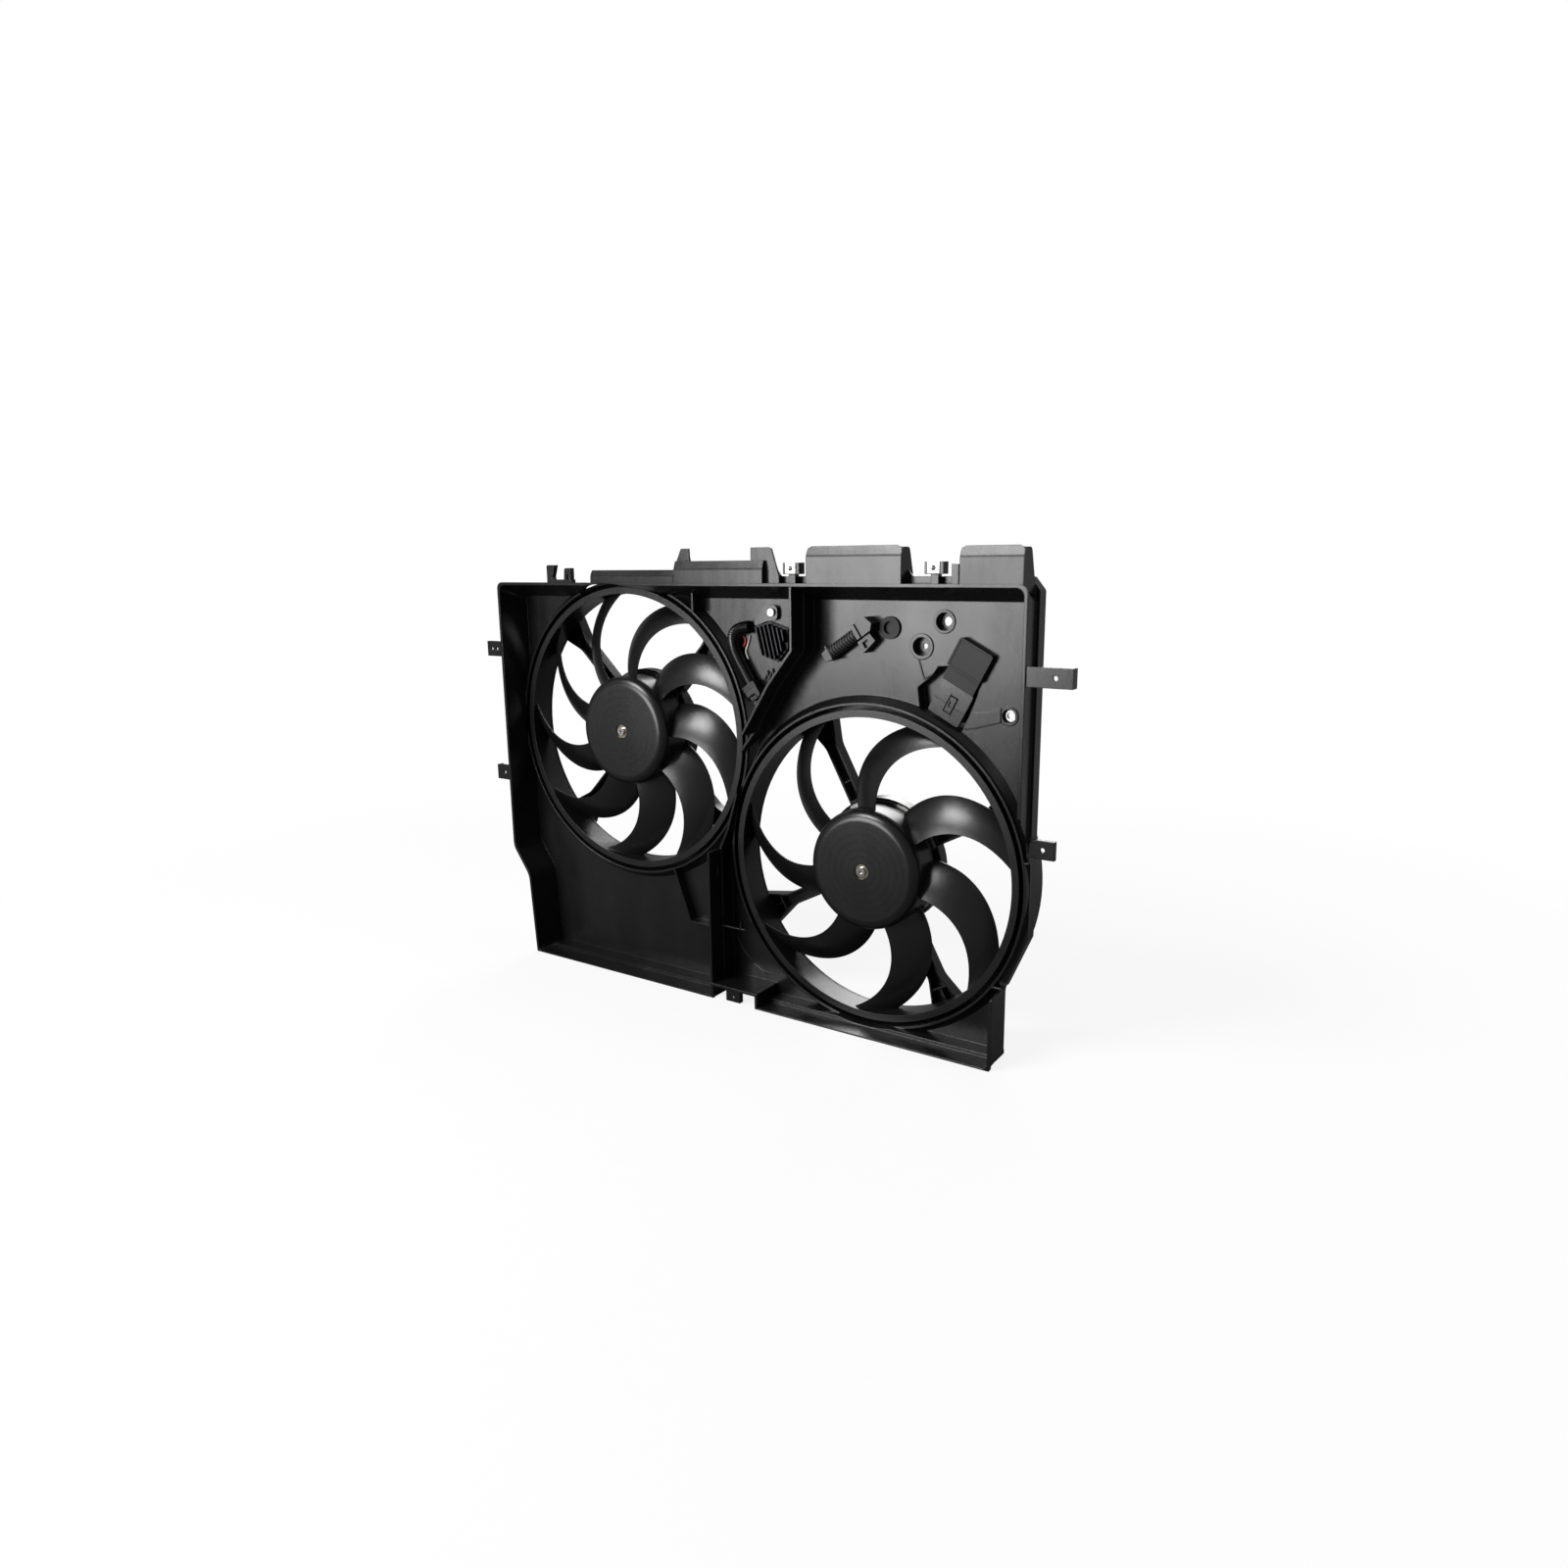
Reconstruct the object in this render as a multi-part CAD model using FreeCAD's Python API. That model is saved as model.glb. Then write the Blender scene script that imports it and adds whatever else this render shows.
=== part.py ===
import FreeCAD, Part
import math
import os

# Twin radiator fan with its shroud, seen from the radiator side along +Y.
# X runs to the right, Y to the back, Z up; the origin is under the middle, at floor height.
# All sizes are in millimetres.

# Fans
FAN_DIAMETER = 383.0        # over the flange of the rotating band
TIP_GAP = 5.5               # from that flange to the shroud opening
BAND_WALL = 3.0
BAND_FLANGE = 5.5           # how far the front flange stands out from the band
BAND_DEPTH = 33.5
LEFT_BLADES = 9
RIGHT_BLADES = 7
LEFT_FIRST_TIP = 99.0       # angle of one blade tip, anticlockwise from +X
RIGHT_FIRST_TIP = 116.0
BLADE_SWEEP = 34.0          # how far a tip lies clockwise of its root
BLADE_THICK = 2.8
BLADE_CAMBER = 3.2
ROOT_WIDTH = 40.0
TIP_WIDTH = 50.0
ROOT_PITCH = 36.0
TIP_PITCH = 21.0
HUB_DIAMETER = 148.0
HUB_WALL = 2.6
HUB_NOSE = 14.0             # hub face in front of the shroud lip
HUB_DEPTH = 46.0
HUB_EDGE = 13.0             # rounding of the hub's nose
HUB_BOSS_R = 11.0
HUB_RIBS = 6

# Rings and barrels of the shroud
LIP_WALL = 3.0
LIP_RISE = 12.0             # lip in front of the panel
LIP_FLARE = 8.0             # how much the lip widens towards the panel
BARREL_DEPTH = 50.0
SEAL_LAP = 2.0              # the barrel's rear seal ring reaches this far inside the band's outside
SEAL_BEHIND = 2.5           # seal ring behind the band
SEAL_THICK = 2.5
SHARED_WALL = 3.9           # thinnest wall between the two openings
AXIS_TILT = 20.45           # line from the right axis to the left one, above level

# Tray
TRAY_DEPTH = 47.5
WALL = 2.5
PANEL = 2.8
LEFT_MARGIN = 1.0           # ring to outer face of the left wall
RIGHT_MARGIN = 3.0
LOW_LEFT_STEP = 28.0        # how far the left wall steps in low down
LOW_LEFT_TAPER = 8.0
LOW_RIGHT_STEP = 26.0
LEFT_STEP_TOP = 183.0       # below the left axis
LEFT_STEP_END = 223.0
RIGHT_STEP_TOP = 54.0       # below the right axis
RIGHT_STEP_END = 118.0
CEILING_DROP = 16.0         # slope of the top wall from rim to panel
SIDE_DRAFT = 3.0
CORNER_R = 9.0
RIM_BEAD = 1.2
RIM_BEAD_DEPTH = 4.0
TIER_HEIGHT = 4.0           # raised rear part of the floor
TIER_START = 26.0
NOTCH_WIDTH = 69.0
TRIM = 0.5                  # taken off the bottom wall to leave its sole flat
NOTCH_RISE = 18.0
DIVIDER_WALL = 3.0
DIVIDER_RIDGE = 1.5
DIVIDER_LOW = 26.0          # how far the middle of the divider stands back from the rim
DIVIDER_TOP_OFFSET = 103.0  # top of the divider, right of the middle between the axes
GUTTER_DEPTH = 10.0         # gutter beside the right ring, behind the panel
GUTTER_TOP = 36.0           # its upper end, above the right axis
SWEEP_TOP = 94.0            # where the right rim starts to draw back, above the right axis
SHOULDER_DEPTH = 33.5       # thicker rear strip of the right wall, behind the rim
SHOULDER_OUT = 1.6
SHOULDER_RISE = 8.5

# Motors and their arms
ARM_DEPTH = 16.0
ARM_WIDTH = 17.0
ARM_FOOT = 52.0
ARM_WALL = 2.6
LEFT_ARM_ANGLE = 46.0
RIGHT_ARM_ANGLE = 28.0
ARMS = 4
HUB_CLEARANCE = 4.0         # hub's back edge to the mounting plate
PLATE_THICK = 2.0
PLATE_R = 78.0
CARRIER_R = 80.0
MOTOR_R = 50.0
MOTOR_FRONT = 4.0           # motor's front face behind the lip
CAN_WALL = 2.0
CAN_GAP = 1.0               # can to carrier ring
CAN_BEHIND = 6.0            # can behind the carrier ring
CAP_THICK = 3.0
CAP_BOSS = 7.5
SHAFT_R = 4.0
SHAFT_FIT = 0.05            # running clearance of the shaft in its bearings
BEARING_R = 9.0
BEARING_LENGTH = 7.0
MAGNETS = 4
MAGNET_THICK = 7.0
MAGNET_ARC = 70.0
AIR_GAP = 1.0
SCREWS = 3
SCREW_PITCH_R = 67.0
SCREW_R = 2.5
SCREW_HEAD_R = 5.0
SCREW_HEAD = 4.0

# Side tabs
LEFT_TAB_REACH = 31.1       # from the wall to the tab's end
RIGHT_TAB_REACH = 51.1
LOW_TAB_REACH = 27.0
TAB_THICK = 3.0
TAB_HEIGHT = 21.0
UPPER_TAB_DROP = 92.0       # below the top of the tray
LOW_LEFT_TAB_DROP = 74.0    # below the left axis
LOW_RIGHT_TAB_RISE = 54.0   # above the right axis
TAB_HOLE_R = 2.6

RIB_HEIGHT = 7.0
RIB_WALL = 2.2

# Air guides, clips and small features of the top wall
HOOD_WALL = 2.5
HOOD_HEIGHT = 42.5
HOOD_DEPTH = 34.0
LOW_HOOD_WIDTH = 139.5
LOW_HOOD_HEIGHT = 17.0
POST_HOOD_WIDTH = 133.5
POST_HOOD_HEIGHT = 27.5
END_HOOD_WIDTH = 70.5
HOOD_GAP = 1.0              # between the low and the stepped hood
CLIP_ROOM_LEFT = 38.5       # hood to the middle of the clip on its right
CLIP_ROOM_RIGHT = 22.5      # middle of the first clip to the next hood
END_CLIP_ROOM = 31.0        # middle of the second clip to the end hood
END_HOOD_INSET = 3.9        # end hood inside the right wall
SADDLE_RISE = 9.0           # low web behind the clips
CLIP_WIDTH = 22.0
CLIP_DEPTH = 12.0
CLIP_HEAD = 13.0
CLIP_HEIGHT = 24.5
NUT_WIDTH = 13.0
NUT_PLATE = 1.5
NUT_BORE_R = 3.0
PRONG_INSET = 95.4          # cable clip inside the left wall

# Side and bottom tabs
TAB_LIP = 2.0
TAB_BACK = 2.0              # tab face behind the rim
TAB_HOLE_INSET = 14.0       # middle of the pair in the left tab, from the tab end
TAB_HOLE_SPACING = 9.8
FLANGE_HOLE_INSET = 18.5
FOOT_TAB_OFFSET = 32.0      # middle of the tab inside the notch
FOOT_HOLE_Z = 7.0
FOOT_HOLE_R = 1.8

HOOK_BACK = 17.0            # hook bar behind the rim
HOOK_DROP = 105.0           # and below the right axis
HOOK_LENGTH = 37.0
HOOK_EYE_R = 6.0

# Features of the panel
PIN_RIB_OFFSET = 123.4      # right of the left axis
CUP_A_OFFSET = 90.6         # right of the right axis
CUP_A_DROP = 41.0           # below the top of the tray
CUP_B_OFFSET = 62.9
CUP_B_DROP = 69.4
GROMMET_OFFSET = 22.9
GROMMET_DROP = 49.4
BRACKET_OFFSET = 57.1       # bracket hole, right of the module
BRACKET_DROP = 34.0         # and below it
GROMMET_R = 11.0
MODULE_OUT = 55.0           # module's middle outside the right ring
MODULE_ANGLE = 63.9         # its direction from the right axis, above level
MODULE_TILT = -28.0
MODULE_WIDTH = 44.0
MODULE_LID = 35.0            # length of the raised lid
MODULE_STRIP = 17.0
MODULE_SOCKET = 41.0
MODULE_RISE = 9.5           # lid face in front of the panel
RESISTOR_OFFSET = 54.3      # resistor's screw, left of the divider's top
RESISTOR_DROP = 34.6
RESISTOR_BOLT_R = 3.0
RECESS_DEPTH = 13.0         # floor of the module's recess behind the panel
RECESS_WALL = 2.0

# Motor insides and fixings
HUB_RIB_GAP = 2.0           # hub ribs to the motor's front face
BLADE_STATIONS = 5
BAND_LIP = 3.5
MAGNET_LENGTH = 27.0
ARMATURE_SLOTS = 8
COIL_END = 5.0              # how far the windings stand out at each end of the core
COMMUTATOR_R = 12.0
COMMUTATOR_LENGTH = 9.0
WASHER_R = 9.0
WASHER_THICK = 1.5
WASHER_SEAT_Y = -11.0
HUB_SCREW_R = 2.5
HUB_SCREW_HEAD_R = 5.5
HUB_SCREW_LENGTH = 14.0
SCREW_TURN = 45.0

# Harness
CONDUIT_OFFSET = 49.4       # lower end, left of the right axis
CONDUIT_DROP = 79.0         # and below the top of the tray
CONDUIT_RUN = 34.0
CONDUIT_CLIMB = 22.5
CONDUIT_R = 8.5
CONDUIT_RIBS = 10
LOOM_R = 8.0
WIRE_R = 1.1
LOOM_PLUG_LENGTH = 20.0
LOOM_PLUG_WIDTH = 19.0

# Derived places
OPENING_R = FAN_DIAMETER / 2 + TIP_GAP
RING_R = OPENING_R + LIP_WALL
BAND_OUT = FAN_DIAMETER / 2 - BAND_FLANGE
BAND_IN = BAND_OUT - BAND_WALL
HUB_R = HUB_DIAMETER / 2
HUB_BACK = HUB_DEPTH - HUB_NOSE
PLATE_FRONT = HUB_BACK + HUB_CLEARANCE
CARRIER_FRONT = PLATE_FRONT + PLATE_THICK
CARRIER_BACK = CARRIER_FRONT + ARM_DEPTH
CAN_BACK = CARRIER_BACK + CAN_BEHIND
MOTOR_BACK = CAN_BACK + CAP_THICK + CAP_BOSS
DEPTH = TRAY_DEPTH - LIP_RISE + MOTOR_BACK
RIM_Y = -DEPTH / 2
PANEL_Y = RIM_Y + TRAY_DEPTH
PANEL_BACK = PANEL_Y + PANEL
LIP_Y = PANEL_Y - LIP_RISE

AXIS_DISTANCE = 2 * OPENING_R + SHARED_WALL
AXIS_RUN = AXIS_DISTANCE * math.cos(math.radians(AXIS_TILT))
AXIS_CLIMB = AXIS_DISTANCE * math.sin(math.radians(AXIS_TILT))
AXIS_MID_X = (LEFT_MARGIN + LEFT_TAB_REACH - RIGHT_MARGIN - RIGHT_TAB_REACH) / 2
RIGHT_X = AXIS_MID_X + AXIS_RUN / 2
RIGHT_Z = RING_R
LEFT_X = AXIS_MID_X - AXIS_RUN / 2
LEFT_Z = RIGHT_Z + AXIS_CLIMB

LEFT_WALL_X = LEFT_X - RING_R - LEFT_MARGIN
RIGHT_WALL_X = RIGHT_X + RING_R + RIGHT_MARGIN
TOP_Z = LEFT_Z + OPENING_R
LOW_LEFT_X = LEFT_WALL_X + LOW_LEFT_STEP
LOW_RIGHT_X = RIGHT_WALL_X - LOW_RIGHT_STEP
DIVIDER_FOOT_X = AXIS_MID_X - 27.0
NOTCH_X0 = DIVIDER_FOOT_X + DIVIDER_WALL / 2
NOTCH_X1 = NOTCH_X0 + NOTCH_WIDTH
FOOT_TAB_X = NOTCH_X0 + FOOT_TAB_OFFSET
LEFT_STEP_TOP_Z, LEFT_STEP_END_Z = LEFT_Z - LEFT_STEP_TOP, LEFT_Z - LEFT_STEP_END
RIGHT_STEP_TOP_Z, RIGHT_STEP_END_Z = RIGHT_Z - RIGHT_STEP_TOP, RIGHT_Z - RIGHT_STEP_END

LEFT_END = LEFT_WALL_X - LEFT_TAB_REACH
RIGHT_END = RIGHT_WALL_X + RIGHT_TAB_REACH
UPPER_TAB_Z = TOP_Z - UPPER_TAB_DROP
LOW_LEFT_TAB_Z = LEFT_Z - LOW_LEFT_TAB_DROP
LOW_RIGHT_TAB_Z = RIGHT_Z + LOW_RIGHT_TAB_RISE

PINCH_X, PINCH_Z = (LEFT_X + RIGHT_X) / 2, (LEFT_Z + RIGHT_Z) / 2
DIVIDER_TOP_X = PINCH_X + DIVIDER_TOP_OFFSET
CLIP_1_X = DIVIDER_TOP_X - 0.5
POST_HOOD_X1 = CLIP_1_X - CLIP_ROOM_LEFT
POST_HOOD_X0 = POST_HOOD_X1 - POST_HOOD_WIDTH
LOW_HOOD_X1 = POST_HOOD_X0 - HOOD_GAP
LOW_HOOD_X0 = LOW_HOOD_X1 - LOW_HOOD_WIDTH
END_HOOD_X1 = RIGHT_WALL_X - END_HOOD_INSET
END_HOOD_X0 = END_HOOD_X1 - END_HOOD_WIDTH
CLIP_2_X = END_HOOD_X0 - END_CLIP_ROOM
MID_HOOD_X0 = CLIP_1_X + CLIP_ROOM_RIGHT
MID_HOOD_X1 = CLIP_2_X - CLIP_ROOM_LEFT + HOOD_GAP
PRONG_X = LEFT_WALL_X + PRONG_INSET
HOOK_Y, HOOK_Z = RIM_Y + HOOK_BACK, RIGHT_Z - HOOK_DROP

PIN_RIB_X = LEFT_X + PIN_RIB_OFFSET
CUP_A_X, CUP_A_Z = RIGHT_X + CUP_A_OFFSET, TOP_Z - CUP_A_DROP
CUP_B_X, CUP_B_Z = RIGHT_X + CUP_B_OFFSET, TOP_Z - CUP_B_DROP
GROMMET_X, GROMMET_Z = RIGHT_X + GROMMET_OFFSET, TOP_Z - GROMMET_DROP
MODULE_X = RIGHT_X + (RING_R + MODULE_OUT) * math.cos(math.radians(MODULE_ANGLE))
MODULE_Z = RIGHT_Z + (RING_R + MODULE_OUT) * math.sin(math.radians(MODULE_ANGLE))
BRACKET_HOLE_X, BRACKET_HOLE_Z = MODULE_X + BRACKET_OFFSET, MODULE_Z - BRACKET_DROP
RESISTOR_BOLT_X, RESISTOR_BOLT_Z = DIVIDER_TOP_X - RESISTOR_OFFSET, TOP_Z - RESISTOR_DROP
CONDUIT_X, CONDUIT_Z = RIGHT_X - CONDUIT_OFFSET, TOP_Z - CONDUIT_DROP
CONDUIT = ((CONDUIT_X, CONDUIT_Z), (CONDUIT_X + CONDUIT_RUN, CONDUIT_Z + CONDUIT_CLIMB))

# Routes of the loom at the left and of the two wires beside it
LOOM_Y = PANEL_Y - LOOM_R
WIRE_Y = PANEL_Y - WIRE_R - 0.1


def from_resistor(y, offsets):
    """Points of a route at depth y, from the resistor's screw."""
    return [(RESISTOR_BOLT_X + dx, y, RESISTOR_BOLT_Z + dz) for dx, dz in offsets]


LOOM_ROUTE = from_resistor(LOOM_Y, [(-31.7, -18.4), (-53.7, -19.4), (-59.7, -41.4), (-43.7, -68.4), (-30.7, -88.4)])
RED_ROUTE = from_resistor(WIRE_Y, [(-46.7, -29.4), (-42.2, -35.4), (-46.2, -43.4)])
WHITE_ROUTE = from_resistor(WIRE_Y, [(-36.2, -29.4), (-38.7, -39.4), (-43.7, -49.4), (-39.2, -58.4)])

Y_AXIS = FreeCAD.Vector(0, 1, 0)
ORIGIN = FreeCAD.Vector(0, 0, 0)


def vec(x, y, z):
    return FreeCAD.Vector(x, y, z)


def corner(before, point, after, radius):
    """Tangent points and mid point of the arc that rounds one corner."""
    to_before = (before - point).normalize()
    to_after = (after - point).normalize()
    half = to_before.getAngle(to_after) / 2
    reach = radius / math.tan(half)
    middle = (to_before + to_after).normalize()
    centre = point + middle * (radius / math.sin(half))
    return point + to_before * reach, centre - middle * radius, point + to_after * reach


def rounded_wire(points, place):
    """Closed wire through points (a, b, radius), with place turning a, b into space."""
    spots = [place(a, b) for a, b, radius in points]
    edges = []
    ends = []
    for index, (a, b, radius) in enumerate(points):
        spot = spots[index]
        if radius > 0:
            following = spots[(index + 1) % len(spots)]
            start, middle, stop = corner(spots[index - 1], spot, following, radius)
            edges.append((start, middle, stop))
            ends.append((start, stop))
        else:
            edges.append(None)
            ends.append((spot, spot))
    drawn = []
    for index, arc in enumerate(edges):
        if arc:
            drawn.append(Part.Arc(*arc).toShape())
        leave = ends[index][1]
        arrive = ends[(index + 1) % len(ends)][0]
        if leave.distanceToPoint(arrive) > 1e-6:
            drawn.append(Part.LineSegment(leave, arrive).toShape())
    return Part.Wire(drawn)


def outline(points, y):
    """Wire in the plane of the panel at depth y; points are (x, z) or (x, z, radius)."""
    full = [tuple(p) + (0,) if len(p) == 2 else tuple(p) for p in points]
    return rounded_wire(full, lambda a, b: vec(a, y, b))


def prism(points, y0, y1):
    return Part.Face(outline(points, y0)).extrude(vec(0, y1 - y0, 0))


def turned(points, y_shift=0.0):
    """Solid turned about the Y axis from points (radius, y) or (radius, y, rounding)."""
    full = [tuple(p) + (0,) if len(p) == 2 else tuple(p) for p in points]
    wire = rounded_wire(full, lambda a, b: vec(a, b + y_shift, 0))
    return Part.Face(wire).revolve(ORIGIN, Y_AXIS, 360)


def rod(radius, y0, y1, x=0.0, z=0.0):
    return Part.makeCylinder(radius, y1 - y0, vec(x, y0, z), Y_AXIS)


def tube(outer, inner, y0, y1, x=0.0, z=0.0):
    return rod(outer, y0, y1, x, z).cut(rod(inner, y0 - 1, y1 + 1, x, z))


def block(x0, x1, y0, y1, z0, z1):
    return Part.makeBox(x1 - x0, y1 - y0, z1 - z0, vec(x0, y0, z0))


def spun(shape, degrees, x=0.0, z=0.0):
    """Copy turned anticlockwise as seen from the front, about a line along Y."""
    copy = shape.copy()
    copy.rotate(vec(x, 0, z), vec(0, -1, 0), degrees)
    return copy


def moved(shape, x, y, z):
    copy = shape.copy()
    copy.translate(vec(x, y, z))
    return copy


def around(shape, count, first=0.0):
    return [spun(shape, first + 360.0 / count * index) for index in range(count)]


def inset(points, distance):
    """Outline moved inwards by distance; points run clockwise or anticlockwise."""
    area = 0.0
    for index in range(len(points)):
        x0, z0 = points[index - 1][:2]
        x1, z1 = points[index][:2]
        area += x0 * z1 - x1 * z0
    side = distance if area > 0 else -distance
    moved_points = []
    for index, point in enumerate(points):
        x, z = point[:2]
        xa, za = points[index - 1][:2]
        xb, zb = points[(index + 1) % len(points)][:2]
        la = math.hypot(x - xa, z - za)
        lb = math.hypot(xb - x, zb - z)
        na = (-(z - za) / la, (x - xa) / la)
        nb = (-(zb - z) / lb, (xb - x) / lb)
        scale = side / (1 + na[0] * nb[0] + na[1] * nb[1])
        moved_points.append((x + (na[0] + nb[0]) * scale, z + (na[1] + nb[1]) * scale) + tuple(point[2:]))
    return moved_points


def ribbon(points, thickness):
    """Outline of a wall of even thickness that follows an open line of points."""
    left, right = [], []
    for index, (x, z) in enumerate(points):
        xa, za = points[max(index - 1, 0)]
        xb, zb = points[min(index + 1, len(points) - 1)]
        if 0 < index < len(points) - 1:
            la, lb = math.hypot(x - xa, z - za), math.hypot(xb - x, zb - z)
            na = (-(z - za) / la, (x - xa) / la)
            nb = (-(zb - z) / lb, (xb - x) / lb)
            scale = thickness / 2 / (1 + na[0] * nb[0] + na[1] * nb[1])
            off = ((na[0] + nb[0]) * scale, (na[1] + nb[1]) * scale)
        else:
            length = math.hypot(xb - xa, zb - za)
            off = (-(zb - za) / length * thickness / 2, (xb - xa) / length * thickness / 2)
        left.append((x + off[0], z + off[1]))
        right.append((x - off[0], z - off[1]))
    return left + right[::-1]


def loft(front, back, y0, y1):
    return Part.makeLoft([outline(front, y0), outline(back, y1)], True, True)


# Shroud

def tray_outline(drop, draft):
    """Outer outline of the tray; drop lowers the top and draft draws the sides in."""
    left, right, top = LEFT_WALL_X + draft, RIGHT_WALL_X - draft, TOP_Z - drop
    low_left, low_right = LOW_LEFT_X + draft, LOW_RIGHT_X - draft
    return [
        (low_left + LOW_LEFT_TAPER, -TRIM, 5.0),
        (NOTCH_X0, -TRIM, 0), (NOTCH_X0, NOTCH_RISE, 0), (NOTCH_X1, NOTCH_RISE, 0), (NOTCH_X1, -TRIM, 0),
        (low_right, -TRIM, 5.0), (low_right, RIGHT_STEP_END_Z, 25.0), (right, RIGHT_STEP_TOP_Z, 25.0),
        (right, top, CORNER_R), (left, top, CORNER_R),
        (left, LEFT_STEP_TOP_Z, 25.0), (low_left, LEFT_STEP_END_Z, 25.0),
    ]


def tray():
    front, back = tray_outline(0.0, 0.0), tray_outline(CEILING_DROP, SIDE_DRAFT)
    sole = block(LEFT_WALL_X, RIGHT_WALL_X, RIM_Y - 1, PANEL_BACK + 1, -10.0, 0.0)
    shell = loft(front, back, RIM_Y, PANEL_BACK).cut(sole)
    hollow = loft(inset(front, WALL), inset(back, WALL), RIM_Y, PANEL_Y)
    mouth = prism(inset(front, WALL), RIM_Y - 1, RIM_Y)
    bead = prism(inset(front, -RIM_BEAD), RIM_Y, RIM_Y + RIM_BEAD_DEPTH)
    under = block(LEFT_WALL_X, RIGHT_WALL_X, RIM_Y - 1, RIM_Y + RIM_BEAD_DEPTH + 1, -10.0, 0.0)
    bead = bead.cut([prism(inset(front, WALL), RIM_Y - 1, RIM_Y + RIM_BEAD_DEPTH + 1), under])
    body = shell.fuse(shoulder()).cut(hollow).cut(mouth).fuse(bead)
    return shell, body.cut(side_sweep())


def shoulder():
    """Thicker rear strip of the right wall, with its chamfered top behind the last hood."""
    inner, outer, top = RIGHT_WALL_X - 16.0, RIGHT_WALL_X + SHOULDER_OUT, TOP_Z + SHOULDER_RISE
    points = [
        (inner, TOP_Z - CEILING_DROP - 1.0), (inner, top), (inner + 6.0, top, 2.0), (outer, TOP_Z - 6.0, 5.0),
        (outer, LOW_RIGHT_TAB_Z + TAB_HEIGHT / 2), (RIGHT_WALL_X - 4.0, LOW_RIGHT_TAB_Z + TAB_HEIGHT / 2),
        (RIGHT_WALL_X - 4.0, TOP_Z - CEILING_DROP - 1.0),
    ]
    return prism(points, RIM_Y + SHOULDER_DEPTH, PANEL_BACK)


def side_sweep():
    """What is taken off the front of the right wall where the big ring reaches it."""
    low, deep = RIGHT_STEP_END_Z + 3.0, PANEL_Y - 2.5
    profile = [
        (RIM_Y - 5.0, low), (deep, low), (deep, RIGHT_Z + GUTTER_TOP - 5.0), (LIP_Y + 1.0, RIGHT_Z + GUTTER_TOP + 6.0),
        (LIP_Y - 2.0, LOW_RIGHT_TAB_Z + 6.0, 8.0), (RIM_Y + 15.0, RIGHT_Z + SWEEP_TOP - 17.0, 20.0),
        (RIM_Y, RIGHT_Z + SWEEP_TOP), (RIM_Y - 5.0, RIGHT_Z + SWEEP_TOP + 5.0),
    ]
    return side_plate(profile, LOW_RIGHT_X - 20.0, RIGHT_END)


def gutter_outline():
    inside = SIDE_DRAFT + WALL
    return [
        (RIGHT_X + RING_R / 2, RIGHT_Z + GUTTER_TOP), (RIGHT_WALL_X - inside, RIGHT_Z + GUTTER_TOP),
        (RIGHT_WALL_X - inside, RIGHT_STEP_TOP_Z), (LOW_RIGHT_X - inside, RIGHT_STEP_END_Z + 3.0),
        (RIGHT_X + RING_R / 2, RIGHT_STEP_END_Z + 3.0),
    ]


def gutter():
    """Deep gutter between the right ring and the wall, and the two webs that close its ends."""
    ring = rod(RING_R - 1.0, RIM_Y, PANEL_BACK + 60.0, RIGHT_X, RIGHT_Z)
    floor_y = PANEL_BACK + GUTTER_DEPTH
    outside = prism(inset(gutter_outline(), -WALL), PANEL_Y - 2.0, floor_y + PANEL).cut(ring)
    hollow = prism(gutter_outline(), PANEL_Y - 3.0, floor_y).cut(rod(RING_R, RIM_Y, floor_y, RIGHT_X, RIGHT_Z))
    webs = []
    for z, x1 in ((RIGHT_Z + GUTTER_TOP, RIGHT_WALL_X), (RIGHT_STEP_END_Z + 3.0, LOW_RIGHT_X)):
        x0 = RIGHT_X + math.sqrt(RING_R ** 2 - (z - RIGHT_Z) ** 2) - 1.0
        webs.append(block(x0, x1 - WALL, LIP_Y, PANEL_BACK, z - RIB_WALL / 2, z + RIB_WALL / 2))
    return outside, hollow, webs


def seal_ring(x, z):
    """Ring at the back of the barrel that closes the gap behind the fan's band."""
    front = LIP_Y + BAND_DEPTH + SEAL_BEHIND
    return tube(RING_R - 1.0, BAND_OUT - SEAL_LAP, front, front + SEAL_THICK, x, z)


def floor_tiers():
    """The rear part of the floor lies a little higher, on both sides of the notch."""
    y0, top = RIM_Y + TIER_START, WALL + TIER_HEIGHT
    left = block(LOW_LEFT_X + LOW_LEFT_TAPER + WALL, NOTCH_X0, y0, PANEL_BACK, WALL / 2, top)
    right = block(NOTCH_X1, LOW_RIGHT_X - WALL, y0, PANEL_BACK, WALL / 2, top)
    return [left, right]


def barrel(x, z):
    """Straight duct behind one opening, with the lip that stands in front of the panel."""
    profile = [
        (OPENING_R - 1.0, 0.0), (RING_R, 0.0), (RING_R, BARREL_DEPTH), (OPENING_R - 1.0, BARREL_DEPTH),
    ]
    return moved(turned(profile, LIP_Y), x, 0, z)


def flare(x, z):
    wide = RING_R + LIP_FLARE
    profile = [
        (OPENING_R - 1.0, 4.0), (RING_R, 4.0), (wide, LIP_RISE), (wide, LIP_RISE + PANEL),
        (OPENING_R - 1.0, LIP_RISE + PANEL),
    ]
    return moved(turned(profile, LIP_Y), x, 0, z)


def divider_line():
    """Points of the wall between the two halves, from the top wall down to the notch."""
    return [
        (DIVIDER_TOP_X, TOP_Z - WALL), (DIVIDER_TOP_X, TOP_Z - 76.0), (PINCH_X + 69.0, PINCH_Z + 148.0),
        (PINCH_X + 30.0, PINCH_Z + 85.0), (PINCH_X + 2.0, PINCH_Z + 50.0), (PINCH_X, PINCH_Z),
        (PINCH_X - 14.0, PINCH_Z - 45.0), (DIVIDER_FOOT_X, PINCH_Z - 72.0), (DIVIDER_FOOT_X, WALL / 2),
    ]


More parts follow.
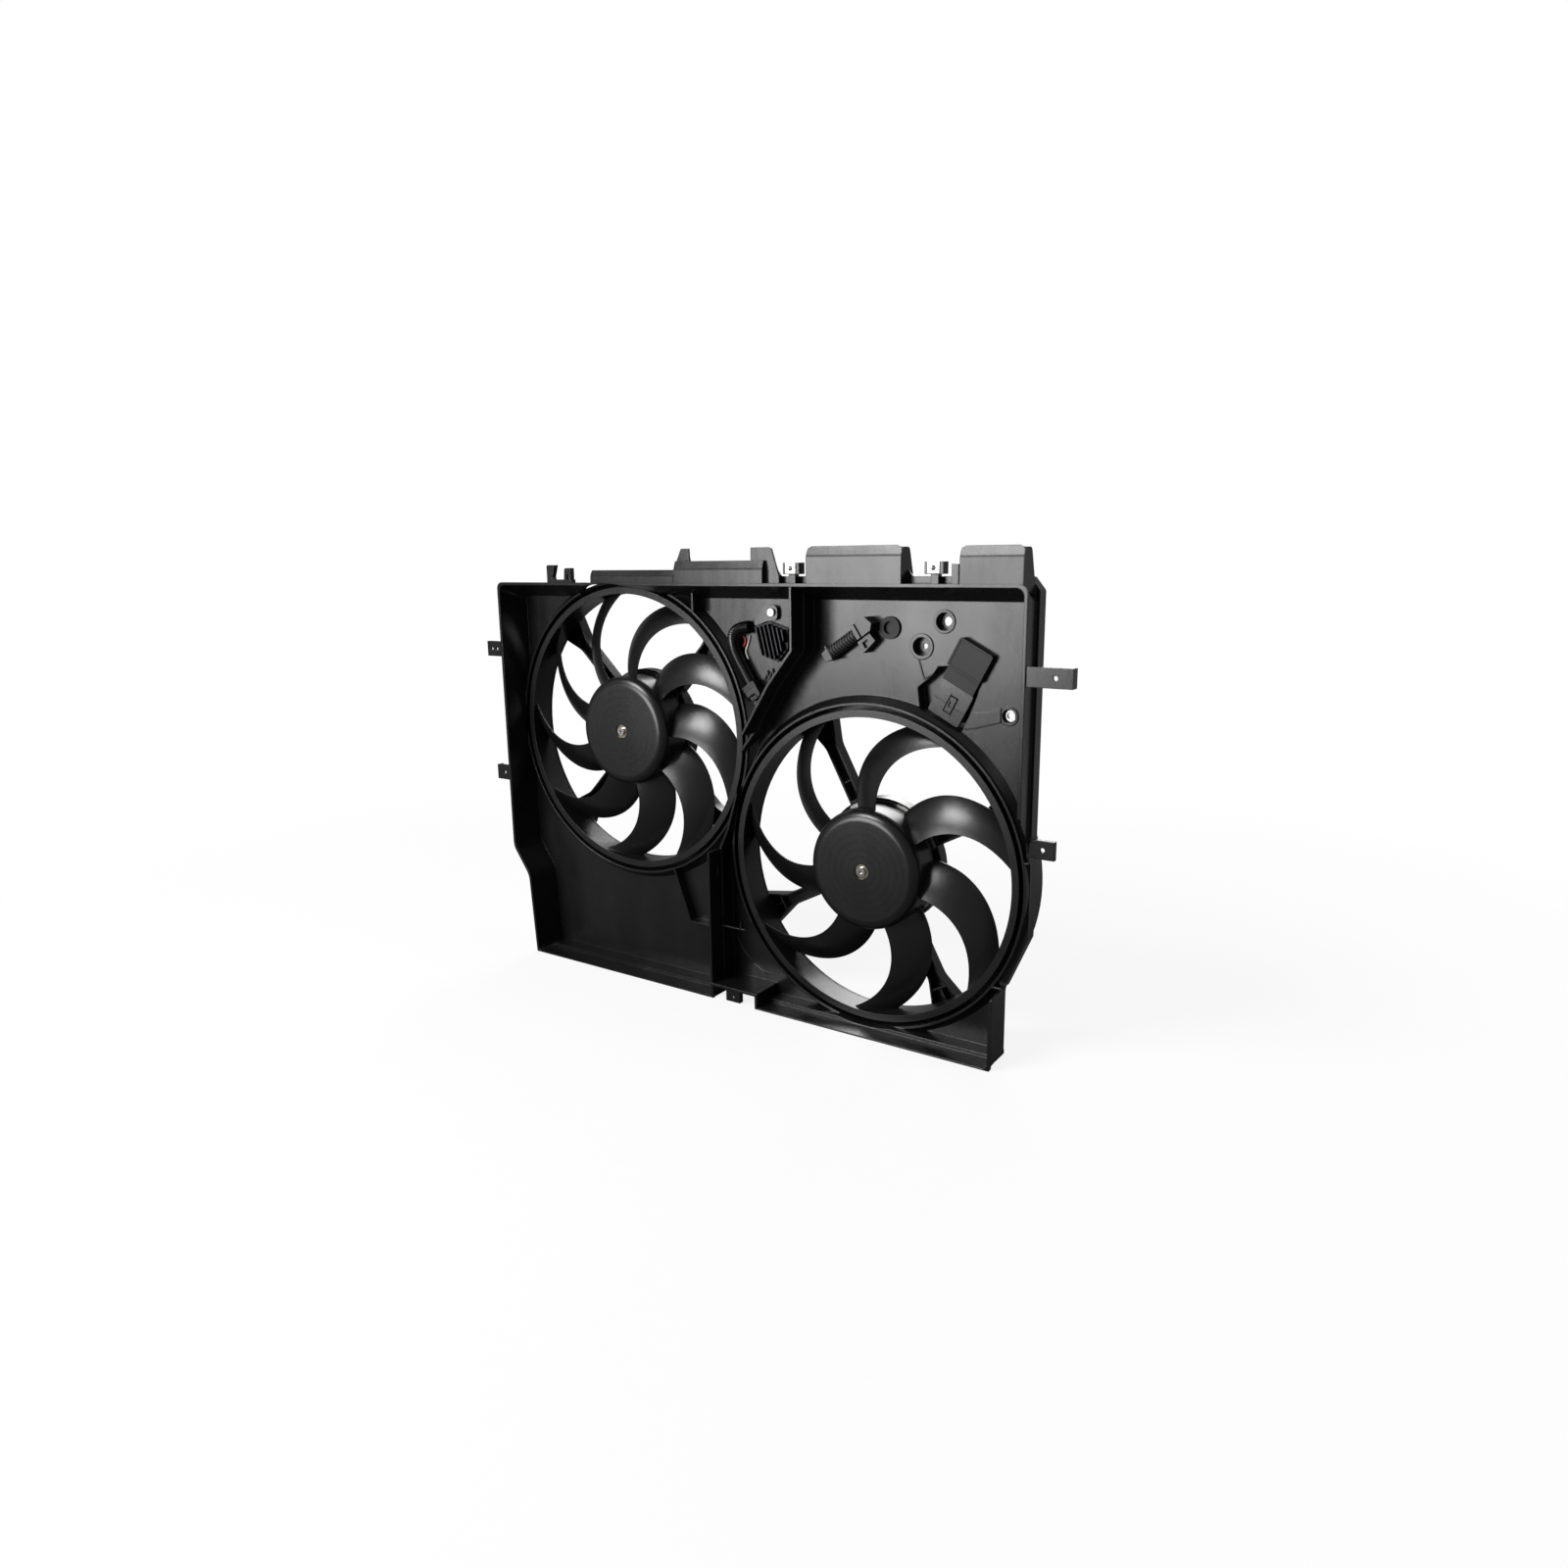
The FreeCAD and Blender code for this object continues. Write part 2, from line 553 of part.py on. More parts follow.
def divider():
    line = divider_line()
    upper = prism(ribbon(line[:4], DIVIDER_WALL), RIM_Y + 0.5, PANEL_BACK)
    middle = prism(ribbon(line[2:8], DIVIDER_WALL), RIM_Y + DIVIDER_LOW, PANEL_BACK)
    lower = prism(ribbon(line[7:], DIVIDER_WALL), RIM_Y + 0.5, PANEL_BACK)
    ridge = DIVIDER_WALL + 2 * DIVIDER_RIDGE
    upper_ridge = prism(ribbon(line[:4], ridge), RIM_Y + DIVIDER_LOW, PANEL_BACK)
    lower_ridge = prism(ribbon(line[7:], ridge), RIM_Y + DIVIDER_LOW, PANEL_BACK)
    return [upper, middle, lower, upper_ridge, lower_ridge]


def top_at(y):
    """Height of the top wall's outer face at depth y."""
    return TOP_Z - CEILING_DROP * (y - RIM_Y) / (PANEL_BACK - RIM_Y)


def side_plate(points, x0, x1):
    """Plate across X from an outline of (y, z) or (y, z, rounding) points."""
    full = [tuple(p) + (0,) if len(p) == 2 else tuple(p) for p in points]
    wire = rounded_wire(full, lambda a, b: vec(x0, a, b))
    return Part.Face(wire).extrude(vec(x1 - x0, 0, 0))


def hood(x0, x1, height, depth, corner_r):
    """Air guide on the top wall: a bent front plate held by a gusset at each end."""
    front, top = RIM_Y + 0.5, TOP_Z + height
    bend = min(12.0, height * 0.4)
    section = [
        (front, TOP_Z - 1.5), (front, top - bend, 14.0), (front + 4.0, top),
        (front + 4.0 + HOOD_WALL, top), (front + HOOD_WALL, top - bend, 14.0), (front + HOOD_WALL, TOP_Z - 2.0),
    ]
    face = [
        (x0, TOP_Z - 2.0), (x0, top, corner_r), (x1, top, corner_r), (x1, TOP_Z - 2.0),
    ]
    plate = side_plate(section, x0, x1).common(prism(face, RIM_Y - 1, RIM_Y + 20))
    back = front + depth
    gusset = [
        (front + HOOD_WALL / 2, TOP_Z - 2.0), (front + HOOD_WALL / 2, top - bend), (front + 5.0, top - 2.0),
        (front + depth * 0.6, top - 2.0, 6.0), (back, top_at(back) + 5.0), (back, top_at(back) - 1.0),
    ]
    ends = [side_plate(gusset, x0, x0 + HOOD_WALL), side_plate(gusset, x1 - HOOD_WALL, x1)]
    foot = [
        (front, TOP_Z - 1.5), (front, TOP_Z + 3.0), (front + HOOD_WALL + 3.0, TOP_Z),
        (front + HOOD_WALL + 3.0, TOP_Z - 2.0),
    ]
    return [plate, side_plate(foot, x0, x1)] + ends


def posted_hood():
    """The stepped hood, with a taller post behind each end."""
    x0, x1 = POST_HOOD_X0, POST_HOOD_X1
    solids = hood(x0, x1, POST_HOOD_HEIGHT, HOOD_DEPTH, 1.0)
    y0 = RIM_Y + 8.0
    foot, top = TOP_Z - 4.0, TOP_Z + HOOD_HEIGHT
    left = [(x0, foot), (x0, top - 14.0), (x0 + 7.0, top), (x0 + 19.0, top), (x0 + 21.0, foot)]
    right = [(x1 - 22.0, foot), (x1 - 21.0, top), (x1 + 8.0, top, 4.0), (x1 + 19.0, top - 34.0), (x1 + 19.0, foot)]
    solids.append(prism(left, y0, y0 + HOOD_WALL))
    solids.append(prism(right, y0, y0 + HOOD_WALL))
    for x in (x0 + 9.0, x1 - 8.0):
        brace = [(y0, foot), (y0, top - 1.0), (y0 + 10.0, top - 1.0), (y0 + 24.0, top_at(y0 + 24.0) - 1.0)]
        solids.append(side_plate(brace, x, x + HOOD_WALL))
    return solids


def clip_post(x):
    """Stem and head that carry one spring nut on the top wall."""
    y0 = RIM_Y + 4.0
    stem = block(x - 4.5, x + 4.5, y0 + 2.0, y0 + 10.0, TOP_Z - 4.0, TOP_Z + CLIP_HEIGHT - CLIP_HEAD)
    head = block(x - CLIP_WIDTH / 2, x + CLIP_WIDTH / 2, y0, y0 + CLIP_DEPTH,
                 TOP_Z + CLIP_HEIGHT - CLIP_HEAD, TOP_Z + CLIP_HEIGHT)
    hole = rod(NUT_BORE_R + 1.6, y0 - 1, y0 + CLIP_DEPTH + 1, x, TOP_Z + CLIP_HEIGHT - CLIP_HEAD / 2)
    seat = TOP_Z + CLIP_HEIGHT - NUT_PLATE
    slot = block(x - NUT_WIDTH / 2, x + NUT_WIDTH / 2, y0 - 1, y0 + CLIP_DEPTH + 1, seat, seat + 20.0)
    return [stem, head.cut(hole).cut(slot)]


def cable_prongs():
    """Open two-pronged clip that holds a cable at the top left."""
    x0, y0 = PRONG_X, RIM_Y + 3.0
    foot = block(x0, x0 + 46.0, y0, y0 + 7.0, TOP_Z - 3.0, TOP_Z + 5.0)
    tall = [(x0, 0), (x0, 24.0, 2.0), (x0 + 15.0, 24.0), (x0 + 10.0, 8.0, 6.0), (x0 + 14.0, 0)]
    short = [(x0 + 31.0, 0), (x0 + 33.0, 20.0, 3.0), (x0 + 44.0, 20.0), (x0 + 44.0, 0), (x0 + 39.0, 0),
             (x0 + 39.0, 13.0, 2.0), (x0 + 36.0, 12.0), (x0 + 36.0, 0)]
    lift = [[(p[0], p[1] + TOP_Z) + tuple(p[2:]) for p in shape] for shape in (tall, short)]
    return [foot, prism(lift[0], y0, y0 + 7.0), prism(lift[1], y0, y0 + 7.0)]


def tab(x_wall, x_end, z, y0, flange):
    """Flat side tab with its hole, two stiffening lips and, on some, a turned end."""
    x0, x1 = min(x_wall, x_end), max(x_wall, x_end)
    z0, z1 = z - TAB_HEIGHT / 2, z + TAB_HEIGHT / 2
    plate = block(x0, x1, y0, y0 + TAB_THICK, z0, z1)
    solids = [plate]
    for edge in (z0, z1 - TAB_LIP):
        solids.append(block(x0, x1, y0, y0 + TAB_THICK + 3.0, edge, edge + TAB_LIP))
    if flange:
        end = (x_end - TAB_THICK, x_end) if x_end > x_wall else (x_end, x_end + TAB_THICK)
        solids.append(block(end[0], end[1], y0, y0 + flange, z0, z1))
    return solids


def tab_holes():
    """Centres (x, y, z) of the holes in the side tabs, in the order of the tabs."""
    return [
        (LEFT_END + TAB_HOLE_INSET - TAB_HOLE_SPACING / 2, RIM_Y + TAB_BACK, UPPER_TAB_Z),
        (LEFT_END + TAB_HOLE_INSET + TAB_HOLE_SPACING / 2, RIM_Y + TAB_BACK, UPPER_TAB_Z),
        (RIGHT_END - FLANGE_HOLE_INSET, RIM_Y + TAB_BACK, UPPER_TAB_Z),
        (LEFT_END + TAB_HOLE_INSET + TAB_HOLE_SPACING / 2, RIM_Y + TAB_BACK, LOW_LEFT_TAB_Z),
        (RIGHT_WALL_X + LOW_TAB_REACH / 2, LIP_Y, LOW_RIGHT_TAB_Z),
    ]


def side_tabs():
    y0 = RIM_Y + TAB_BACK
    left, right = LEFT_WALL_X + 1.0, RIGHT_WALL_X - 1.0
    solids = tab(left, LEFT_END, UPPER_TAB_Z, y0, 0)
    solids += tab(right, RIGHT_END, UPPER_TAB_Z, y0, 12.0)
    solids += tab(left, LEFT_WALL_X - LOW_TAB_REACH, LOW_LEFT_TAB_Z, y0, 9.0)
    solids += tab(right - SIDE_DRAFT, RIGHT_WALL_X + LOW_TAB_REACH, LOW_RIGHT_TAB_Z, LIP_Y, 6.0)
    drills = [rod(TAB_HOLE_R, y - 10, y + 20, x, z) for x, y, z in tab_holes()]
    return solids, drills


def bottom_tab():
    x, y0 = FOOT_TAB_X, RIM_Y + TAB_BACK
    plate = block(x - 11.0, x + 11.0, y0, y0 + TAB_THICK, 1.0, NOTCH_RISE + 1.0)
    lips = [block(edge, edge + TAB_LIP, y0, y0 + TAB_THICK + 4.0, 1.0, NOTCH_RISE + 1.0)
            for edge in (x - 11.0, x + 11.0 - TAB_LIP)]
    return [plate] + lips, rod(FOOT_HOLE_R, y0 - 5, y0 + 15, x, FOOT_HOLE_Z)


def cup(x, z, collar_r, wall_r, depth, hole_r):
    """Recess in the panel: a raised collar, a cup behind the panel and a hole in its floor."""
    solid = [rod(collar_r, PANEL_Y - 1.5, PANEL_BACK, x, z), rod(wall_r + 2.0, PANEL_Y, PANEL_BACK + depth, x, z)]
    cut = [rod(wall_r, PANEL_Y - 5, PANEL_BACK + depth - 2.5, x, z),
           rod(hole_r, PANEL_Y, PANEL_BACK + depth + 5, x, z)]
    return solid, cut


def carrier_arms(x, z, first):
    """Channel-shaped arms with wide ribbed feet, and the ring that carries the motor."""
    y0, y1 = LIP_Y + CARRIER_FRONT, LIP_Y + CARRIER_BACK
    half, foot = ARM_WIDTH / 2, ARM_FOOT / 2
    inner, knee, end = CARRIER_R - 10.0, OPENING_R - 42.0, RING_R + 5.0
    body = prism([(inner, -half), (knee, -half, 30.0), (end, -foot), (end, foot), (knee, half, 30.0),
                  (inner, half)], y0, y1).common(rod(RING_R, y0 - 1, y1 + 1))
    t = ARM_WALL
    pocket = prism([(CARRIER_R + 3.0, -half + t), (knee, -half + t, 30.0), (OPENING_R - 6.0, -foot + 2.5 * t),
                    (OPENING_R - 6.0, foot - 2.5 * t), (knee, half - t, 30.0), (CARRIER_R + 3.0, half - t)],
                   y0 - 1, y1 - t)
    ribs = [block(r, r + 2.2, y0 + 2.0, y1 - t, -foot, foot) for r in (CARRIER_R + 26.0, OPENING_R - 30.0)]
    spine = block(OPENING_R - 30.0, OPENING_R - 5.0, y0 + 4.0, y1 - t, -1.1, 1.1)
    for rib in ribs + [spine]:
        pocket = pocket.cut(rib)
    arm = body.cut(pocket)
    solids = around(arm, ARMS, first)
    ring = tube(CARRIER_R, MOTOR_R + CAN_GAP, y0, y1)
    groove = tube(CARRIER_R - 3.0, MOTOR_R + CAN_GAP + 3.0, y0 + 5.0, y1 + 1)
    pads = [rod(SCREW_HEAD_R + 2.5, y0, y1, SCREW_PITCH_R, 0)]
    pads = around(pads[0], SCREWS, first + SCREW_TURN)
    solids.append(ring.cut(groove))
    solids += pads
    holes = around(rod(SCREW_R + 0.3, y0 - 1, y1 + 1, SCREW_PITCH_R, 0), SCREWS, first + SCREW_TURN)
    return [moved(s, x, 0, z) for s in solids], [moved(s, x, 0, z) for s in holes]


def back_ribs():
    """Stiffening ribs on the back of the open areas of the panel."""
    area = prism(inset(tray_outline(CEILING_DROP, SIDE_DRAFT), 3.0), PANEL_Y, PANEL_BACK + RIB_HEIGHT)
    ribs = []
    for x in (LEFT_X - 132.0, LEFT_X - 52.0, LEFT_X + 28.0, LEFT_X + 108.0):
        ribs.append(block(x, x + RIB_WALL, PANEL_BACK - 1, PANEL_BACK + RIB_HEIGHT, 8.0, LEFT_Z - 100.0))
    for x in (RIGHT_X - 55.0, RIGHT_X + 25.0, RIGHT_X + 105.0):
        ribs.append(block(x, x + RIB_WALL, PANEL_BACK - 1, PANEL_BACK + RIB_HEIGHT, RIGHT_Z + 150.0, TOP_Z - 20.0))
    for z in (60.0, 120.0):
        ribs.append(block(LOW_LEFT_X + 8.0, DIVIDER_FOOT_X, PANEL_BACK - 1, PANEL_BACK + RIB_HEIGHT, z, z + RIB_WALL))
    for z in (RIGHT_Z + RING_R + 25.0, TOP_Z - 31.0):
        ribs.append(block(DIVIDER_TOP_X, RIGHT_WALL_X - 8.0, PANEL_BACK - 1, PANEL_BACK + RIB_HEIGHT, z, z + RIB_WALL))
    grid = ribs[0].fuse(ribs[1:])
    keep_out = [rod(RING_R - 1.0, PANEL_Y, PANEL_BACK + 60, x, z) for x, z in ((LEFT_X, LEFT_Z), (RIGHT_X, RIGHT_Z))]
    for cut in keep_out + back_clearances():
        grid = grid.cut(cut)
    return [grid.common(area)]


def back_clearances():
    """Room behind the panel for what passes through it."""
    deep = PANEL_BACK + RIB_HEIGHT + 5
    return [
        prism(module_recess(1.0), PANEL_Y, deep),
        rod(GROMMET_R + 3.0, PANEL_Y, deep, GROMMET_X, GROMMET_Z),
    ]


def module_frame(u, v):
    """Point of the control module's tilted frame, from its centre."""
    c, s = math.cos(math.radians(MODULE_TILT)), math.sin(math.radians(MODULE_TILT))
    return (MODULE_X + u * c - v * s, MODULE_Z + u * s + v * c)


def module_recess(grow=0.0):
    """Outline of the recess around the control module."""
    right = MODULE_WIDTH / 2
    corners = [
        (-right - 11.0, 1.0), (1.0 - right, 8.0), (right - 1.0, 8.0), (right + 2.0, -6.0), (right + 6.0, -44.0),
        (right + 4.0, -50.0), (-right - 8.0, -52.0), (-right - 21.5, -33.0), (-right - 12.0, -10.0),
    ]
    return [module_frame(u, v) for u, v in inset(corners, -grow)]


def panel_features():
    """What is moulded onto the panel: collars, cups, seats and small ribs."""
    add, cut = [], []
    for spec in ((CUP_A_X, CUP_A_Z, 13.0, 10.0, 8.0, 5.0), (CUP_B_X, CUP_B_Z, 14.5, 10.5, 9.0, 3.0)):
        solids, cuts = cup(*spec)
        add += solids
        cut += cuts
    x, z = BRACKET_HOLE_X, BRACKET_HOLE_Z
    solids, cuts = cup(x, z, 10.5, 7.5, 5.0, 4.0)
    add += solids
    cut += cuts
    edge = MODULE_WIDTH / 2 + 6.0
    seat = [module_frame(edge, -22.0), module_frame(edge + 18.0, -10.0), (x - 9.0, z + 8.0), (x - 9.0, z - 7.5),
            module_frame(edge + 10.0, -37.0), module_frame(edge - 2.0, -46.0)]
    add.append(prism(seat, PANEL_Y - 2.5, PANEL_BACK))
    add.append(prism(module_recess(RECESS_WALL), PANEL_Y, PANEL_BACK + RECESS_DEPTH + RECESS_WALL))
    cut.append(prism(module_recess(), PANEL_Y - 5, PANEL_BACK + RECESS_DEPTH))
    crease = [module_frame(-63.0, 1.0), module_frame(-41.0, -20.0), module_frame(-33.0, -8.0)]
    add.append(prism(ribbon(crease, 1.2), PANEL_Y - 1.0, PANEL_Y + 1.0))
    cut.append(rod(GROMMET_R, PANEL_Y - 5, PANEL_BACK + 5, GROMMET_X, GROMMET_Z))
    add.append(rod(RESISTOR_BOLT_R + 5.5, PANEL_Y - 3.0, PANEL_BACK + 6.0, RESISTOR_BOLT_X, RESISTOR_BOLT_Z))
    cut.append(rod(RESISTOR_BOLT_R, PANEL_Y - 5, PANEL_BACK + 4.0, RESISTOR_BOLT_X, RESISTOR_BOLT_Z))
    return add, cut


def trough():
    """Three-cornered pocket left of the divider foot, and the pin rib under the top wall."""
    top, low = LEFT_Z - 179.0, LEFT_Z - 255.0
    a, b, c = (DIVIDER_FOOT_X - 87.0, top), (DIVIDER_FOOT_X - 59.0, low), (DIVIDER_FOOT_X, low)
    wall = prism(ribbon([a, b, c], WALL), PANEL_Y - 14.0, PANEL_BACK)
    pin = block(PIN_RIB_X - 1.5, PIN_RIB_X + 1.5, PANEL_Y - 20.0, PANEL_BACK, TOP_Z - 36.0, TOP_Z - 8.0)
    return [wall, pin]


def divider_fittings():
    """Hook bar with its open eye, a short rib and the toothed cable holder on the divider's faces."""
    face, z = DIVIDER_FOOT_X + DIVIDER_WALL / 2, HOOK_Z
    bar = block(face - 1.0, face + HOOK_LENGTH, HOOK_Y, HOOK_Y + 4.0, z, z + 2.2)
    eye_x, eye_z = face + HOOK_LENGTH + 3.0, z + HOOK_EYE_R
    eye = tube(HOOK_EYE_R, HOOK_EYE_R - 2.0, HOOK_Y, HOOK_Y + 4.0, eye_x, eye_z)
    eye = eye.cut(block(eye_x - 3.0, eye_x + 1.0, HOOK_Y - 1, HOOK_Y + 5.0, eye_z, eye_z + 10.0))
    rib = block(face - 0.5, face + 1.2, HOOK_Y, HOOK_Y + 2.5, z + 66.0, z + 80.0)
    x0, z0 = PINCH_X + 69.0, PINCH_Z + 148.0
    teeth = [(x0 - 12.0, z0 + 6.0), (x0 - 8.0, z0 + 14.0), (x0 - 6.0, z0 + 7.0), (x0 - 1.0, z0 + 17.0),
             (x0 + 1.0, z0 + 10.0), (x0 + 9.0, z0 + 20.0), (x0 + 12.0, z0 + 16.0)]
    holder = prism(ribbon(teeth, 1.6), RIM_Y + 13.0, RIM_Y + 18.0)
    return [bar, eye, rib, holder]


def creases():
    """Low moulded lines on the panel beside the divider's foot."""
    x, z = DIVIDER_FOOT_X, RIGHT_Z
    bow = [(x + 8.0, z - 127.0), (x + 20.0, z - 146.0), (x + 36.0, z - 162.0), (x + 52.0, z - 169.0), (x + 67.0, z - 168.0)]
    dash = [(x + 9.0, z - 153.5), (x + 24.0, z - 152.0)]
    return [prism(ribbon(line, 1.4), PANEL_Y - 0.9, PANEL_Y + 1.0) for line in (bow, dash)]


def saddles():
    """Low webs behind the clips, that run from hood to hood."""
    webs = []
    y0, foot, tall, low = RIM_Y + 16.0, TOP_Z - 8.0, TOP_Z + 2 * SADDLE_RISE, TOP_Z + SADDLE_RISE
    for x0, x1 in ((POST_HOOD_X1 + 10.0, MID_HOOD_X0 + 1.0), (MID_HOOD_X1 - 1.0, END_HOOD_X0 + 1.0)):
        points = [(x0, foot), (x0, tall), (x0 + 7.0, low, 9.0), (x1 - 7.0, low, 9.0), (x1, tall), (x1, foot)]
        webs.append(prism(points, y0, y0 + HOOD_WALL))
    return webs


def shroud():
    outer, body = tray()
    flares = [flare(LEFT_X, LEFT_Z).common(outer), flare(RIGHT_X, RIGHT_Z).common(outer).cut(side_sweep())]
    gutter_body, gutter_hollow, webs = gutter()
    barrels = [barrel(LEFT_X, LEFT_Z), barrel(RIGHT_X, RIGHT_Z)]
    hoods = hood(LOW_HOOD_X0, LOW_HOOD_X1, LOW_HOOD_HEIGHT, HOOD_DEPTH, 1.0)
    hoods += posted_hood()
    hoods += hood(MID_HOOD_X0, MID_HOOD_X1, HOOD_HEIGHT, HOOD_DEPTH, 7.0)
    hoods += hood(END_HOOD_X0, END_HOOD_X1, HOOD_HEIGHT - 2.0, HOOD_DEPTH, 7.0)
    clips = clip_post(CLIP_1_X) + clip_post(CLIP_2_X) + cable_prongs()
    clips.append(block(END_HOOD_X0 - 11.0, END_HOOD_X0 - 3.0, RIM_Y + 5.0, RIM_Y + 17.0, TOP_Z - 4.0, TOP_Z + 22.0))
    features, cuts = panel_features()
    tabs, drills = side_tabs()
    foot_tab, foot_drill = bottom_tab()
    body = body.fuse(gutter_body).cut(gutter_hollow)
    solids = floor_tiers() + flares + barrels + divider() + trough() + back_ribs() + webs
    solids += hoods + clips + features + tabs + foot_tab + saddles() + divider_fittings() + creases()
    body = body.fuse(solids)
    openings = []
    for x, z in ((LEFT_X, LEFT_Z), (RIGHT_X, RIGHT_Z)):
        openings.append(rod(OPENING_R, RIM_Y - 1, LIP_Y + BARREL_DEPTH + 1, x, z))
    body = body.cut(openings + cuts + drills + [foot_drill])
    carriers, screw_holes = [], []
    for x, z, first in ((LEFT_X, LEFT_Z, LEFT_ARM_ANGLE), (RIGHT_X, RIGHT_Z, RIGHT_ARM_ANGLE)):
        arms, holes = carrier_arms(x, z, first)
        carriers += arms + [seal_ring(x, z)]
        screw_holes += holes
    body = body.fuse(carriers).cut(screw_holes)
    return body.removeSplitter()


# Fans

def blade_section(width, pitch, radius, angle, y_mid):
    """Closed wire of one blade section, in the plane square to the radius at that angle."""
    rise = width * math.tan(math.radians(pitch))
    half = BLADE_THICK / 2
    a = math.radians(angle)
    out, side = vec(math.cos(a), 0, math.sin(a)), vec(-math.sin(a), 0, math.cos(a))

    def spot(s, y):
        return out * radius + side * s + Y_AXIS * y

    ends = [(-width / 2, y_mid - rise / 2), (width / 2, y_mid + rise / 2)]
    tip = half * 0.6
    front = [spot(ends[0][0], ends[0][1] - tip), spot(0, y_mid - BLADE_CAMBER - half),
             spot(ends[1][0], ends[1][1] - tip)]
    back = [spot(ends[1][0], ends[1][1] + tip), spot(0, y_mid - BLADE_CAMBER + half),
            spot(ends[0][0], ends[0][1] + tip)]
    return Part.Wire([
        Part.Arc(*front).toShape(), Part.LineSegment(front[2], back[0]).toShape(),
        Part.Arc(*back).toShape(), Part.LineSegment(back[2], front[0]).toShape(),
    ])


def blade():
    """One sickle blade with its root at angle zero, swept clockwise towards the tip."""
    inner, outer = HUB_R - 9.0, BAND_IN + 1.2
    wires = []
    for step in range(BLADE_STATIONS):
        t = step / (BLADE_STATIONS - 1)
        radius = inner + (outer - inner) * t
        width = ROOT_WIDTH + (TIP_WIDTH - ROOT_WIDTH) * math.sin(t * math.pi / 2)
        pitch = ROOT_PITCH + (TIP_PITCH - ROOT_PITCH) * t
        wires.append(blade_section(width, pitch, radius, -BLADE_SWEEP * t ** 1.8, BAND_DEPTH / 2 + 0.5))
    return Part.makeLoft(wires, True, False)


def fan(blades, first_tip):
    """Hub, blades and band in one moulding, about the Y axis with the lip plane at y = 0."""
    hub = turned([(0, -HUB_NOSE), (HUB_R, -HUB_NOSE + 1.0, HUB_EDGE), (HUB_R, HUB_BACK), (0, HUB_BACK)])
    band = turned([
        (BAND_IN, 0.5), (FAN_DIAMETER / 2, 0.5), (FAN_DIAMETER / 2, BAND_LIP), (BAND_OUT, BAND_LIP),
        (BAND_OUT, BAND_DEPTH), (BAND_IN, BAND_DEPTH),
    ])
    body = hub.fuse([band] + around(blade(), blades, first_tip + BLADE_SWEEP))
    inside = HUB_R - HUB_WALL
    floor_y = -HUB_NOSE + HUB_WALL + 2.0
    hollow = turned([(HUB_BOSS_R, floor_y), (inside, floor_y, HUB_EDGE - HUB_WALL), (inside, HUB_BACK + 1),
                     (HUB_BOSS_R, HUB_BACK + 1)])
    rib = block(HUB_BOSS_R - 1, inside - 1.0, floor_y - 1, MOTOR_FRONT - HUB_RIB_GAP, -1.0, 1.0)
    hollow = hollow.cut(around(rib, HUB_RIBS))
    crown = rod(HUB_BOSS_R + 1, MOTOR_FRONT - HUB_RIB_GAP, HUB_BACK + 1)
    seat = rod(WASHER_R + 0.3, -HUB_NOSE - 1, WASHER_SEAT_Y)
    bore = rod(SHAFT_R, -HUB_NOSE - 1, HUB_BACK)
    return body.cut([hollow, crown, seat, bore]).removeSplitter()


# Motors, about the Y axis with the lip plane at y = 0

def bearing(front):
    return tube(BEARING_R, SHAFT_R + SHAFT_FIT, front, front + BEARING_LENGTH)


